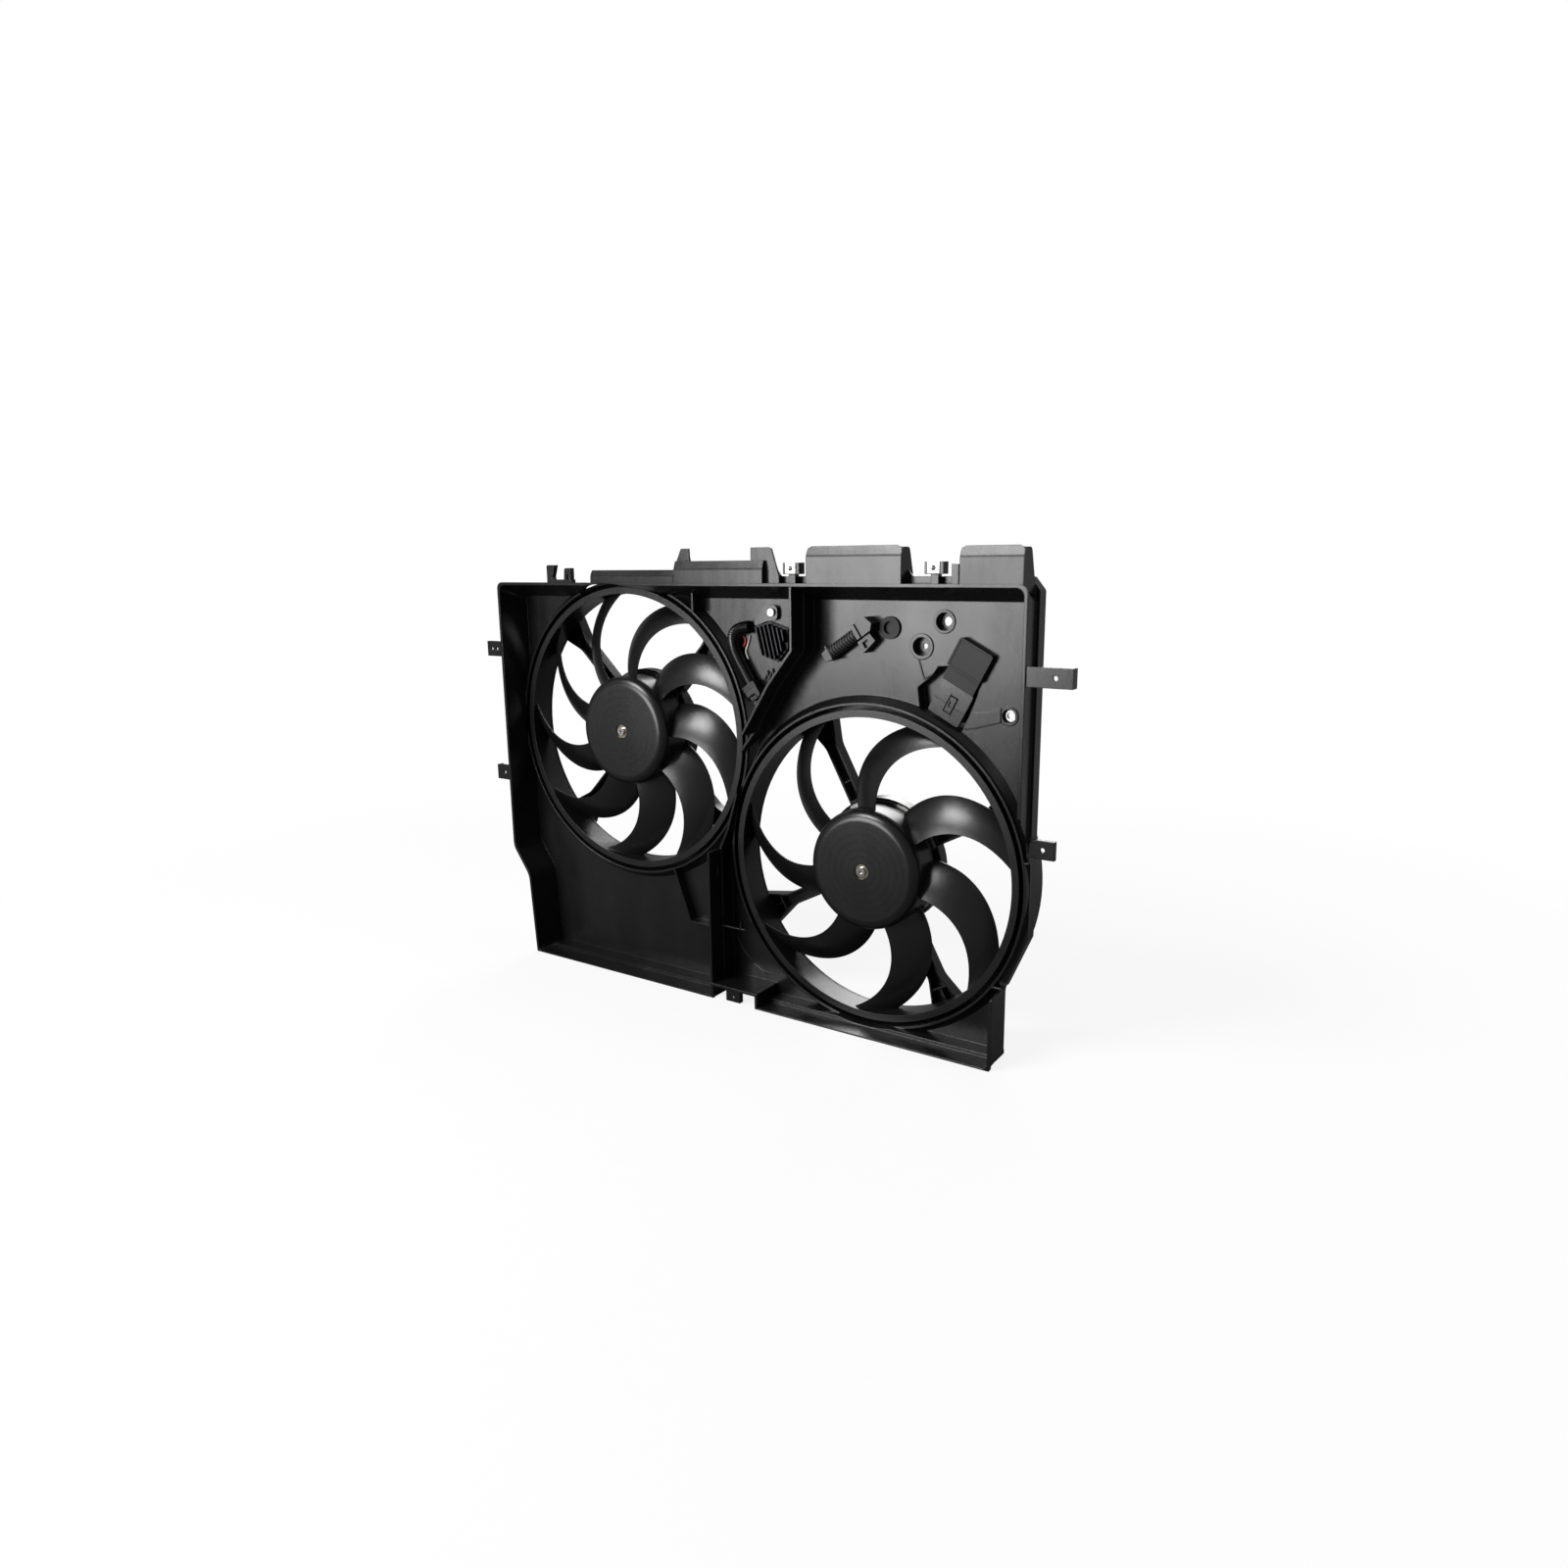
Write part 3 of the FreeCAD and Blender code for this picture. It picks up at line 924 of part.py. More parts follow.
def motor_parts(first_screw):
    """All pieces of one motor: those fixed to the shroud, and those that turn with the fan."""
    inner = MOTOR_R - CAN_WALL
    front = MOTOR_FRONT
    nose = front + CAN_WALL
    housing = turned([
        (BEARING_R, front), (MOTOR_R - 3.0, front), (MOTOR_R, front + 3.0), (MOTOR_R, CAN_BACK), (inner, CAN_BACK), (inner, nose),
        (BEARING_R + CAN_WALL, nose), (BEARING_R + CAN_WALL, front + BEARING_LENGTH),
        (BEARING_R, front + BEARING_LENGTH),
    ])
    vent = block(22.0, 34.0, front - 1, nose + 1, -4.0, 4.0)
    housing = housing.cut(around(vent, 4, 45.0))
    plate = tube(PLATE_R, MOTOR_R, PLATE_FRONT, CARRIER_FRONT)
    notch = rod(12.0, PLATE_FRONT - 1, CARRIER_FRONT + 1, PLATE_R + 3.0, 0)
    plate = plate.cut(around(notch, SCREWS, first_screw + 60.0))
    plate = plate.cut(around(rod(SCREW_R, PLATE_FRONT - 1, CARRIER_FRONT + 1, SCREW_PITCH_R, 0), SCREWS, first_screw))
    boss_r = BEARING_R + CAN_WALL
    rear = CAN_BACK + CAP_THICK
    cap = turned([
        (BEARING_R, rear + CAP_BOSS - BEARING_LENGTH - 1.0), (boss_r, rear + CAP_BOSS - BEARING_LENGTH - 1.0),
        (boss_r, CAN_BACK), (MOTOR_R, CAN_BACK), (MOTOR_R, rear), (boss_r + 3.0, rear),
        (boss_r, rear + CAP_BOSS), (0, rear + CAP_BOSS), (0, rear + CAP_BOSS - 1.0),
        (BEARING_R, rear + CAP_BOSS - 1.0),
    ])
    rib = block(boss_r, MOTOR_R - 4.0, rear - 0.5, rear + 1.8, -1.2, 1.2)
    cap = cap.fuse(around(rib, 6, 15.0)).removeSplitter()
    magnet_front, magnet_back = nose + 7.0, nose + 7.0 + MAGNET_LENGTH
    sector = prism([(0, 0), (70.0, -70.0 * math.tan(math.radians(MAGNET_ARC / 2))),
                    (70.0, 70.0 * math.tan(math.radians(MAGNET_ARC / 2)))], magnet_front - 1, magnet_back + 1)
    magnet = tube(inner, inner - MAGNET_THICK, magnet_front, magnet_back).common(sector)
    magnets = Part.makeCompound(around(magnet, MAGNETS, 45.0))
    core_r = inner - MAGNET_THICK - AIR_GAP
    core = tube(core_r, SHAFT_R, magnet_front, magnet_back)
    slot = block(core_r - 14.0, core_r - 2.0, magnet_front - 1, magnet_back + 1, -2.6, 2.6)
    mouth = block(core_r - 3.0, core_r + 1.0, magnet_front - 1, magnet_back + 1, -1.0, 1.0)
    core = core.cut(around(slot.fuse(mouth), ARMATURE_SLOTS))
    coil_r = core_r - 3.0
    coil_in = BEARING_R + CAN_WALL + 1.5
    coils = [tube(coil_r, coil_in, magnet_front - COIL_END, magnet_front),
             tube(coil_r, coil_in, magnet_back, magnet_back + COIL_END)]
    commutator_front = magnet_back + 6.0
    commutator = tube(COMMUTATOR_R, SHAFT_R, commutator_front, commutator_front + COMMUTATOR_LENGTH)
    groove = block(COMMUTATOR_R - 1.0, COMMUTATOR_R + 1, commutator_front - 1,
                   commutator_front + COMMUTATOR_LENGTH + 1, -0.4, 0.4)
    commutator = commutator.cut(around(groove, 12))
    shaft_end = rear + CAP_BOSS - 1.5
    shaft = rod(SHAFT_R, WASHER_SEAT_Y, shaft_end)
    tap = rod(HUB_SCREW_R, WASHER_SEAT_Y - 1, WASHER_SEAT_Y + HUB_SCREW_LENGTH)
    shaft = shaft.cut(tap)
    card_back = commutator_front + COMMUTATOR_LENGTH
    card = tube(inner - 0.3, COMMUTATOR_R + 2.0, card_back - 2.0, card_back)
    y_mid = commutator_front + COMMUTATOR_LENGTH / 2 - 1.0
    brush = block(COMMUTATOR_R + 0.15, COMMUTATOR_R + 14.0, y_mid - 2.5, y_mid + 2.5, -3.0, 3.0)
    shell = block(COMMUTATOR_R + 3.0, COMMUTATOR_R + 22.0, y_mid - 4.0, card_back - 2.0, -4.5, 4.5)
    shell = shell.cut(block(COMMUTATOR_R + 2.0, COMMUTATOR_R + 20.5, y_mid - 2.5, y_mid + 2.5, -3.0, 3.0))
    card = card.fuse(around(shell, 2, 0.0)).removeSplitter()
    spring = block(COMMUTATOR_R + 14.0, COMMUTATOR_R + 20.5, y_mid - 1.5, y_mid + 1.5, -2.0, 2.0)
    washer = tube(WASHER_R, HUB_SCREW_R, WASHER_SEAT_Y - WASHER_THICK, WASHER_SEAT_Y)
    head_back = WASHER_SEAT_Y - WASHER_THICK
    head = turned([(0, head_back - 3.2), (HUB_SCREW_HEAD_R, head_back - 3.2), (HUB_SCREW_HEAD_R, head_back),
                   (HUB_SCREW_R, head_back), (HUB_SCREW_R, WASHER_SEAT_Y + HUB_SCREW_LENGTH),
                   (0, WASHER_SEAT_Y + HUB_SCREW_LENGTH)])
    socket = prism([(2.4 * math.cos(math.radians(60 * k)), 2.4 * math.sin(math.radians(60 * k))) for k in range(6)],
                   head_back - 4.0, head_back - 1.2)
    screw = turned([(0, CARRIER_FRONT - 1.5), (SCREW_R, CARRIER_FRONT - 1.5), (SCREW_R, CARRIER_BACK),
                    (SCREW_HEAD_R, CARRIER_BACK), (SCREW_HEAD_R, CARRIER_BACK + SCREW_HEAD),
                    (0, CARRIER_BACK + SCREW_HEAD)])
    screw = moved(screw, SCREW_PITCH_R, 0, 0)
    screw = screw.cut(prism([(SCREW_PITCH_R + 2.6 * math.cos(math.radians(60 * k)),
                              2.6 * math.sin(math.radians(60 * k))) for k in range(6)],
                            CARRIER_BACK + 1.5, CARRIER_BACK + SCREW_HEAD + 1))
    fixed = {
        "motor_housing": housing, "motor_mount_plate": plate, "motor_end_cap": cap, "motor_magnets": magnets,
        "brush_card": card, "brushes": Part.makeCompound(around(brush, 2)),
        "brush_springs": Part.makeCompound(around(spring, 2)),
        "front_bearing": bearing(front), "rear_bearing": bearing(rear + CAP_BOSS - BEARING_LENGTH - 1.0),
        "motor_screws": Part.makeCompound(around(screw, SCREWS, first_screw)),
    }
    turning = {
        "armature_core": core, "armature_windings": Part.makeCompound(coils), "commutator": commutator,
        "motor_shaft": shaft, "hub_washer": washer, "hub_screw": head.cut(socket),
    }
    return fixed, turning


# Electrical pieces on the panel

def in_module(points):
    return [module_frame(*p[:2]) + tuple(p[2:]) for p in points]


def rectangle(u0, u1, v0, v1, radius=0.0):
    return [(u0, v0, radius), (u1, v0, radius), (u1, v1, radius), (u0, v1, radius)]


def control_module():
    """Control module seated in its recess: body, raised lid with its strip, and the plug with its latch."""
    w = MODULE_WIDTH / 2
    deck = PANEL_Y + 4.0
    top = 11.0
    body = prism(in_module(rectangle(-w + 3.0, w - 3.0, -MODULE_SOCKET - 3.0, 6.0)), deck, PANEL_BACK + RECESS_DEPTH)
    lid = prism(in_module(rectangle(-w, w, top, top + MODULE_LID, 3.0)), PANEL_Y - MODULE_RISE, PANEL_Y)
    rim = prism(in_module(rectangle(-w + 2.5, w - 2.5, top + 2.5, top + MODULE_LID - 2.5)),
                PANEL_Y - MODULE_RISE - 1, PANEL_Y - MODULE_RISE + 0.6)
    foot = top - MODULE_STRIP
    strip = prism(in_module(rectangle(-w + 1.5, w - 1.5, foot, top + 2.0)), PANEL_Y - 4.5, PANEL_Y)
    neck = prism(in_module(rectangle(-w + 3.0, w - 3.0, foot, 6.0)), PANEL_Y - 2.0, deck)
    lid = lid.cut(rim).fuse([strip, neck]).removeSplitter()
    face = PANEL_Y - 1.5
    plug = prism(in_module(rectangle(-w + 1.5, w - 1.0, foot - MODULE_SOCKET, foot - 0.2, 2.5)), face, deck)
    window = prism(in_module(rectangle(-4.0, 7.0, foot - 33.0, foot - 12.0)), face - 1, face + 3.5)
    seam = prism(in_module(rectangle(-w, w, foot - 24.0, foot - 23.0)), face - 1, face + 0.8)
    plug = plug.cut([window, seam])
    latch = prism(in_module(rectangle(-2.5, 5.5, foot - 31.5, foot - 13.5)), face - 0.6, face + 3.5)
    tooth = prism(in_module(rectangle(-1.0, 4.0, foot - 25.0, foot - 19.0)), face - 2, face + 1.5)
    return {"module_body": body, "module_lid": lid, "module_plug": plug, "module_plug_latch": latch.cut(tooth)}


def bracket_sleeve():
    """Steel ring pressed into the cup of the module's bracket."""
    floor_y = PANEL_BACK + 5.0 - 2.5
    x, z = BRACKET_HOLE_X, BRACKET_HOLE_Z
    return tube(6.5, 4.0, floor_y - 1.5, floor_y, x, z)


def resistor():
    """Finned series resistor on its steel plate, held by one screw."""
    x, z = RESISTOR_BOLT_X, RESISTOR_BOLT_Z
    face = [(x - 27.5, z - 18.5), (x - 4.0, z - 11.5), (x + 23.0, z - 19.5), (x + 22.5, z - 44.0),
            (x + 7.0, z - 60.0), (x - 12.0, z - 54.0)]
    base = prism(face, PANEL_Y - 5.0, PANEL_Y)
    base = base.cut(prism(divider_clearance(), PANEL_Y - 40, PANEL_Y + 1))
    fins = []
    for k in range(9):
        u = -26.0 + 6.0 * k
        fin = block(u, u + 1.8, PANEL_Y - 12.0, PANEL_Y - 4.0, -30.0, 30.0)
        fins.append(moved(spun(fin, 14.0), x - 2.0, 0, z - 36.0))
    envelope = prism(inset(face, 2.0), PANEL_Y - 13.0, PANEL_Y - 4.0)
    envelope = envelope.cut(prism(divider_clearance(), PANEL_Y - 40, PANEL_Y + 1))
    combs = [fin.common(envelope) for fin in fins]
    block_solid = base.fuse([c for c in combs if c.Volume > 1.0]).removeSplitter()
    plate = prism([(x - 28.0, z - 13.0), (x - 11.0, z + 8.5, 6.0), (x + 8.0, z + 9.0, 7.0), (x + 8.0, z - 9.0, 6.0),
                   (x - 8.0, z - 11.0), (x - 24.0, z - 17.0)], PANEL_Y - 5.5, PANEL_Y - 4.0 + 1.0)
    return block_solid, plate


def divider_clearance():
    line = divider_line()
    shifted = [(px, pz) for px, pz in line[:5]]
    return ribbon(shifted, DIVIDER_WALL + 2 * DIVIDER_RIDGE + 1.0)


def on_line(shape, start, stop):
    """Shape made along +Y from the origin, laid along a line across the panel."""
    (x0, y0, z0), (x1, y1, z1) = start, stop
    copy = shape.copy()
    direction = vec(x1 - x0, y1 - y0, z1 - z0)
    copy.Placement = FreeCAD.Placement(vec(x0, y0, z0), FreeCAD.Rotation(Y_AXIS, direction))
    return copy


def conduit():
    """Corrugated sleeve of the harness, lying on the panel."""
    length = math.hypot(CONDUIT[1][0] - CONDUIT[0][0], CONDUIT[1][1] - CONDUIT[0][1])
    pitch = length / CONDUIT_RIBS
    profile = [(CONDUIT_R - 2.0, 0.0)]
    for k in range(CONDUIT_RIBS):
        y = k * pitch
        profile += [(CONDUIT_R - 1.5, y), (CONDUIT_R, y + pitch / 2)]
    profile += [(CONDUIT_R - 1.5, length), (CONDUIT_R - 2.0, length)]
    y = PANEL_Y - CONDUIT_R
    return on_line(turned(profile), (CONDUIT[0][0], y, CONDUIT[0][1]), (CONDUIT[1][0], y, CONDUIT[1][1]))


def harness_direction():
    dx, dz = CONDUIT[1][0] - CONDUIT[0][0], CONDUIT[1][1] - CONDUIT[0][1]
    return math.degrees(math.atan2(dz, dx))


def along(u, v):
    """Point of the harness frame: u along the sleeve from its lower end, v square to it."""
    a = math.radians(harness_direction())
    return (CONDUIT[0][0] + u * math.cos(a) - v * math.sin(a), CONDUIT[0][1] + u * math.sin(a) + v * math.cos(a))


def harness_plugs():
    """The plug at the lower end, the joint piece at the upper end and the light side plug."""
    length = math.hypot(CONDUIT[1][0] - CONDUIT[0][0], CONDUIT[1][1] - CONDUIT[0][1])
    lower = prism([along(u, v) for u, v in ((-2.0, -9.0), (-2.0, 9.0), (-0.2, 9.0), (-0.2, -9.0))],
                  PANEL_Y - 17.0, PANEL_Y)
    cheek = prism([along(u, v) for u, v in ((-12.0, -6.0), (-12.0, 5.0), (-2.0, 7.0), (-2.0, -8.0))],
                  PANEL_Y - 13.0, PANEL_Y)
    lower = lower.fuse(cheek).removeSplitter()
    u0 = length + 0.2
    joint = prism([along(u, v) for u, v in ((u0, -8.0), (u0, 10.0), (u0 + 22.0, 9.0), (u0 + 26.0, -2.0),
                                            (u0 + 20.0, -8.0))], PANEL_Y - 18.0, PANEL_Y - 0.2)
    groove = prism([along(u, v) for u, v in ((u0 + 5.0, -9.0), (u0 + 5.0, 11.0), (u0 + 8.0, 11.0), (u0 + 8.0, -9.0))],
                   PANEL_Y - 19.0, PANEL_Y - 15.5)
    joint = joint.cut(groove)
    side = prism([along(u, v) for u, v in ((u0 - 4.0, -24.0), (u0 - 4.0, -9.6), (u0 + 15.0, -8.2),
                                           (u0 + 17.0, -20.0))], PANEL_Y - 13.0, PANEL_Y)
    slot = prism([along(u, v) for u, v in ((u0 + 1.0, -21.0), (u0 + 1.0, -13.0), (u0 + 9.0, -13.0),
                                           (u0 + 9.0, -21.0))], PANEL_Y - 14.0, PANEL_Y - 9.0)
    return lower, joint, side.cut(slot)


def grommet():
    """Rubber grommet snapped into the panel, with its lip on both sides."""
    r = GROMMET_R
    profile = [
        (0, PANEL_Y + 1.0), (r - 3.5, PANEL_Y + 1.0), (r - 3.5, PANEL_Y - 3.0), (r + 2.0, PANEL_Y - 3.0),
        (r + 2.0, PANEL_Y), (r, PANEL_Y), (r, PANEL_BACK), (r + 1.8, PANEL_BACK), (r - 1.0, PANEL_BACK + 3.0),
        (0, PANEL_BACK + 3.0),
    ]
    return moved(turned(profile), GROMMET_X, 0, GROMMET_Z)


def tube_along(points, radius):
    """Round tube along straight runs joined by tangent arcs of the largest size that fits."""
    spots = [vec(*p) for p in points]
    edges = []
    start = spots[0]
    for index in range(1, len(spots) - 1):
        run = min((spots[index] - spots[index - 1]).Length, (spots[index + 1] - spots[index]).Length)
        turn = (spots[index] - spots[index - 1]).getAngle(spots[index + 1] - spots[index])
        bend = 0.45 * run / math.tan(turn / 2)
        first, middle, last = corner(spots[index - 1], spots[index], spots[index + 1], bend)
        print("bend radius %.1f" % bend)
        edges.append(Part.LineSegment(start, first).toShape())
        edges.append(Part.Arc(first, middle, last).toShape())
        start = last
    edges.append(Part.LineSegment(start, spots[-1]).toShape())
    path = Part.Wire(edges)
    section = Part.Wire(Part.makeCircle(radius, spots[0], spots[1] - spots[0]))
    solid = path.makePipeShell([section], True, False)
    print("tube volume ratio %.4f" % (solid.Volume / (math.pi * radius ** 2 * path.Length)))
    return solid


def loom_plug():
    """Plug at the lower end of the loom."""
    (xa, _, za), (xb, _, zb) = LOOM_ROUTE[-2], LOOM_ROUTE[-1]
    turn = math.degrees(math.atan2(zb - za, xb - xa))
    half = LOOM_PLUG_WIDTH / 2
    body = block(0.2, LOOM_PLUG_LENGTH, PANEL_Y - 2 * LOOM_R, PANEL_Y, -half, half)
    step = block(LOOM_PLUG_LENGTH - 6.0, LOOM_PLUG_LENGTH + 1, PANEL_Y - 2 * LOOM_R - 1, PANEL_Y - 11.0, -half - 1, 3.0)
    ribs = [block(u, u + 1.5, PANEL_Y - 2 * LOOM_R - 1.2, PANEL_Y, -half - 1.0, half + 1.0) for u in (1.0, 5.0)]
    return moved(spun(body.cut(step).fuse(ribs).removeSplitter(), turn), xb, 0, zb)


def spring_nut(x):
    """Steel U nut pushed over the head of a clip post, with its threaded collar."""
    y0, y1 = RIM_Y + 4.0, RIM_Y + 4.0 + CLIP_DEPTH
    z0, z1 = TOP_Z + CLIP_HEIGHT - CLIP_HEAD, TOP_Z + CLIP_HEIGHT
    half = NUT_WIDTH / 2
    front = block(x - half, x + half, y0 - NUT_PLATE, y0, z0 + 1.0, z1)
    back = block(x - half, x + half, y1, y1 + NUT_PLATE, z0 + 1.0, z1)
    bridge = block(x - half, x + half, y0 - NUT_PLATE, y1 + NUT_PLATE, z1 - NUT_PLATE, z1)
    middle = TOP_Z + CLIP_HEIGHT - CLIP_HEAD / 2
    collar = rod(NUT_BORE_R + 1.5, y0 - NUT_PLATE, y1 + NUT_PLATE, x, middle)
    nut = front.fuse([back, bridge, collar])
    return nut.cut(rod(NUT_BORE_R, y0 - 5, y1 + 5, x, middle)).removeSplitter()


def main():
    nodes = {"shroud": shroud()}
    places = (
        ("left", LEFT_X, LEFT_Z, LEFT_BLADES, LEFT_FIRST_TIP, LEFT_ARM_ANGLE + SCREW_TURN),
        ("right", RIGHT_X, RIGHT_Z, RIGHT_BLADES, RIGHT_FIRST_TIP, RIGHT_ARM_ANGLE + SCREW_TURN),
    )
    for side, x, z, blades, first_tip, first_screw in places:
        nodes[side + "_fan"] = moved(fan(blades, first_tip), x, LIP_Y, z)
        fixed, turning = motor_parts(first_screw)
        for name, shape in list(fixed.items()) + list(turning.items()):
            nodes[side + "_" + name] = moved(shape, x, LIP_Y, z)
    nodes.update(control_module())
    nodes["module_bracket_sleeve"] = bracket_sleeve()
    nodes["resistor_block"], nodes["resistor_plate"] = resistor()
    head = rod(4.5, PANEL_Y - 8.5, PANEL_Y - 5.5, RESISTOR_BOLT_X, RESISTOR_BOLT_Z)
    stem = rod(RESISTOR_BOLT_R, PANEL_Y - 6.0, PANEL_BACK + 3.5, RESISTOR_BOLT_X, RESISTOR_BOLT_Z)
    nodes["resistor_screw"] = head.fuse(stem).removeSplitter()
    nodes["resistor_plate"] = nodes["resistor_plate"].cut(stem)
    nodes["loom_sleeve"] = tube_along(LOOM_ROUTE, LOOM_R)
    nodes["loom_plug"] = loom_plug()
    nodes["red_wire"] = tube_along(RED_ROUTE, WIRE_R)
    nodes["white_wire"] = tube_along(WHITE_ROUTE, WIRE_R)
    nodes["harness_conduit"] = conduit()
    lower, joint, side = harness_plugs()
    nodes["harness_end_plug"], nodes["harness_joint"], nodes["harness_side_plug"] = lower, joint, side
    nodes["harness_grommet"] = grommet()
    nodes["top_spring_nuts"] = Part.makeCompound([spring_nut(x) for x in (CLIP_1_X, CLIP_2_X)])
    os.makedirs("parts", exist_ok=True)
    for name, shape in nodes.items():
        shape.exportStep("parts/" + name + ".step")


if __name__ == "__main__":
    main()
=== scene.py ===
import math

import bpy
from mathutils import Matrix, Vector


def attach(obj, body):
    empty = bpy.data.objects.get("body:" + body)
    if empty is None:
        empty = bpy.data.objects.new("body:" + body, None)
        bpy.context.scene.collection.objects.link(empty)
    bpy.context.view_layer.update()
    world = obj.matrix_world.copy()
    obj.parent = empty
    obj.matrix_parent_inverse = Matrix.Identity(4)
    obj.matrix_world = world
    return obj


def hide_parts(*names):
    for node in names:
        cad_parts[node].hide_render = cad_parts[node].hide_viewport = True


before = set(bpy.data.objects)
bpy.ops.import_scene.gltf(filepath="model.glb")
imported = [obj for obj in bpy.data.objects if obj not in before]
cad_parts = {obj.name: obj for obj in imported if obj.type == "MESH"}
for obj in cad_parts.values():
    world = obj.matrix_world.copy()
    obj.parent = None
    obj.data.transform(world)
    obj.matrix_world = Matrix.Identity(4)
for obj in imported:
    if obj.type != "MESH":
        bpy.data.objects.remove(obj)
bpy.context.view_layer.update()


# Camera
# The photograph was taken from the right and a little above, with a moderate wide lens.
# The place, turns and lens were solved from the two round openings and the straight tray edges.

PHOTO_SIDE = 1600.0          # pixels
FOCAL_PIXELS = 1100.2
CAMERA_PLACE = Vector((0.7892, -1.1027, 0.5673))
CAMERA_TURN = 0.5935         # radians to the left of straight ahead
CAMERA_TILT = 0.2077         # downwards
CAMERA_ROLL = -0.0123

lens = bpy.data.cameras.new("camera")
lens.sensor_width = 36.0
lens.lens = FOCAL_PIXELS / PHOTO_SIDE * lens.sensor_width
lens.clip_start, lens.clip_end = 0.05, 60.0
camera = bpy.data.objects.new("camera", lens)
bpy.context.scene.collection.objects.link(camera)
turn = Matrix.Rotation(CAMERA_TURN, 4, "Z")
tilt = Matrix.Rotation(math.pi / 2 - CAMERA_TILT, 4, "X")
roll = Matrix.Rotation(CAMERA_ROLL, 4, "Z")
camera.matrix_world = Matrix.Translation(CAMERA_PLACE) @ turn @ tilt @ roll
bpy.context.scene.camera = camera


# Shroud
# One large injection moulding in glass-filled polyamide, black all through, which carries the rest:
# tray, panel, two barrels, motor arms, hoods, posts and tabs. Its skin is satin with a fine grain,
# faint flow clouds, dull rubbed patches and a few dust specks.

class Wire:
    """One socket of a node tree, so that a pattern reads as arithmetic."""

    def __init__(self, graph, socket):
        self.graph = graph
        self.socket = socket

    def maths(self, operation, first, second=None, clamp=False):
        settings = {"operation": operation, "use_clamp": clamp}
        values = {0: first} if second is None else {0: first, 1: second}
        return self.graph.add("ShaderNodeMath", settings, values)

    def __add__(self, other):
        return self.maths("ADD", self, other)

    def __sub__(self, other):
        return self.maths("SUBTRACT", self, other)

    def __mul__(self, other):
        return self.maths("MULTIPLY", self, other)

    def __rsub__(self, other):
        return self.maths("SUBTRACT", other, self)

    __radd__ = __add__
    __rmul__ = __mul__

    def clamped(self):
        return self.maths("ADD", self, 0.0, clamp=True)

    def root(self):
        return self.maths("SQRT", self)

    def wave(self, pitch):
        """Triangle wave from 0 to 1 with that pitch."""
        return self.maths("PINGPONG", self * (2.0 / pitch), 1.0)


class Graph:
    """A node tree to which nodes are added one by one."""

    def __init__(self, tree):
        self.tree = tree

    def add(self, kind, settings=None, values=None, output=0, stops=None):
        node = self.tree.nodes.new(kind)
        for name, value in (settings or {}).items():
            setattr(node, name, value)
        if stops:
            ramp = node.color_ramp
            while len(ramp.elements) < len(stops):
                ramp.elements.new(1.0)
            for element, (place, grey) in zip(ramp.elements, stops):
                element.position = place
                element.color = (grey, grey, grey, 1.0)
        for key, value in (values or {}).items():
            self.put(node.inputs[key], value)
        return Wire(self, node.outputs[output])

    def put(self, socket, value):
        """Links a wire, or each wire of a list, to the socket, or writes a value into it."""
        for part in value if isinstance(value, list) else [value]:
            if isinstance(part, Wire):
                self.tree.links.new(part.socket, socket)
            elif socket.type == "RGBA" and len(part) == 3:
                socket.default_value = (*part, 1.0)
            else:
                socket.default_value = part


class Finish(Graph):
    """One material, whose pattern is worked out from the piece's own coordinates."""

    def __init__(self, name):
        self.material = bpy.data.materials.new(name)
        self.material.use_nodes = True
        super().__init__(self.material.node_tree)
        self.tree.nodes.clear()
        self.surface = self.tree.nodes.new("ShaderNodeBsdfPrincipled")
        output = self.tree.nodes.new("ShaderNodeOutputMaterial")
        self.tree.links.new(self.surface.outputs[0], output.inputs["Surface"])

    def set(self, **values):
        """Sets the surface's own sockets; base_color stands for Base Color."""
        for name, value in values.items():
            socket = name.replace("_", " ").title().replace("Ior", "IOR")
            self.put(self.surface.inputs[socket], value)

    def place(self):
        return self.add("ShaderNodeTexCoord", output="Object")

    def axis(self, name):
        return self.add("ShaderNodeSeparateXYZ", values={0: self.place()}, output=name)

    def away(self, x, z):
        """Distance from a line along Y through x and z."""
        across, up = self.axis("X") - x, self.axis("Z") - z
        return (across * across + up * up).root()

    def noise(self, scale, detail=3.0, roughness=0.55, stretch=(1.0, 1.0, 1.0), shift=(0.0, 0.0, 0.0)):
        """Even noise about 0.5; scale is in bumps a metre."""
        mapping = {"Vector": self.place(), "Scale": stretch, "Location": shift}
        spot = self.add("ShaderNodeMapping", values=mapping)
        values = {"Vector": spot, "Scale": scale, "Detail": detail, "Roughness": roughness}
        return self.add("ShaderNodeTexNoise", {"noise_dimensions": "3D"}, values)

    def ramp(self, value, *stops):
        return self.add("ShaderNodeValToRGB", values={0: value}, stops=stops)

    def mix(self, factor, low, high):
        values = {0: factor, 6: low, 7: high}
        return self.add("ShaderNodeMix", {"data_type": "RGBA"}, values, output=2)

    def edges(self, radius):
        """Normal of the surface with its sharp edges rounded off."""
        return self.add("ShaderNodeBevel", {"samples": 4}, {"Radius": radius})

    def bump(self, height, depth, normal):
        """Bump of a height from 0 to 1, depth metres deep."""
        values = {"Height": height, "Distance": depth, "Normal": normal}
        return self.add("ShaderNodeBump", values=values)


GRAIN_DEPTH = 0.00003        # metres
STREAK_DEPTH = 0.0005
HUB_FACE_RADIUS = 0.0715
HUB_RING_PITCH = 0.0092
HUB_RING_DULLNESS = 0.02


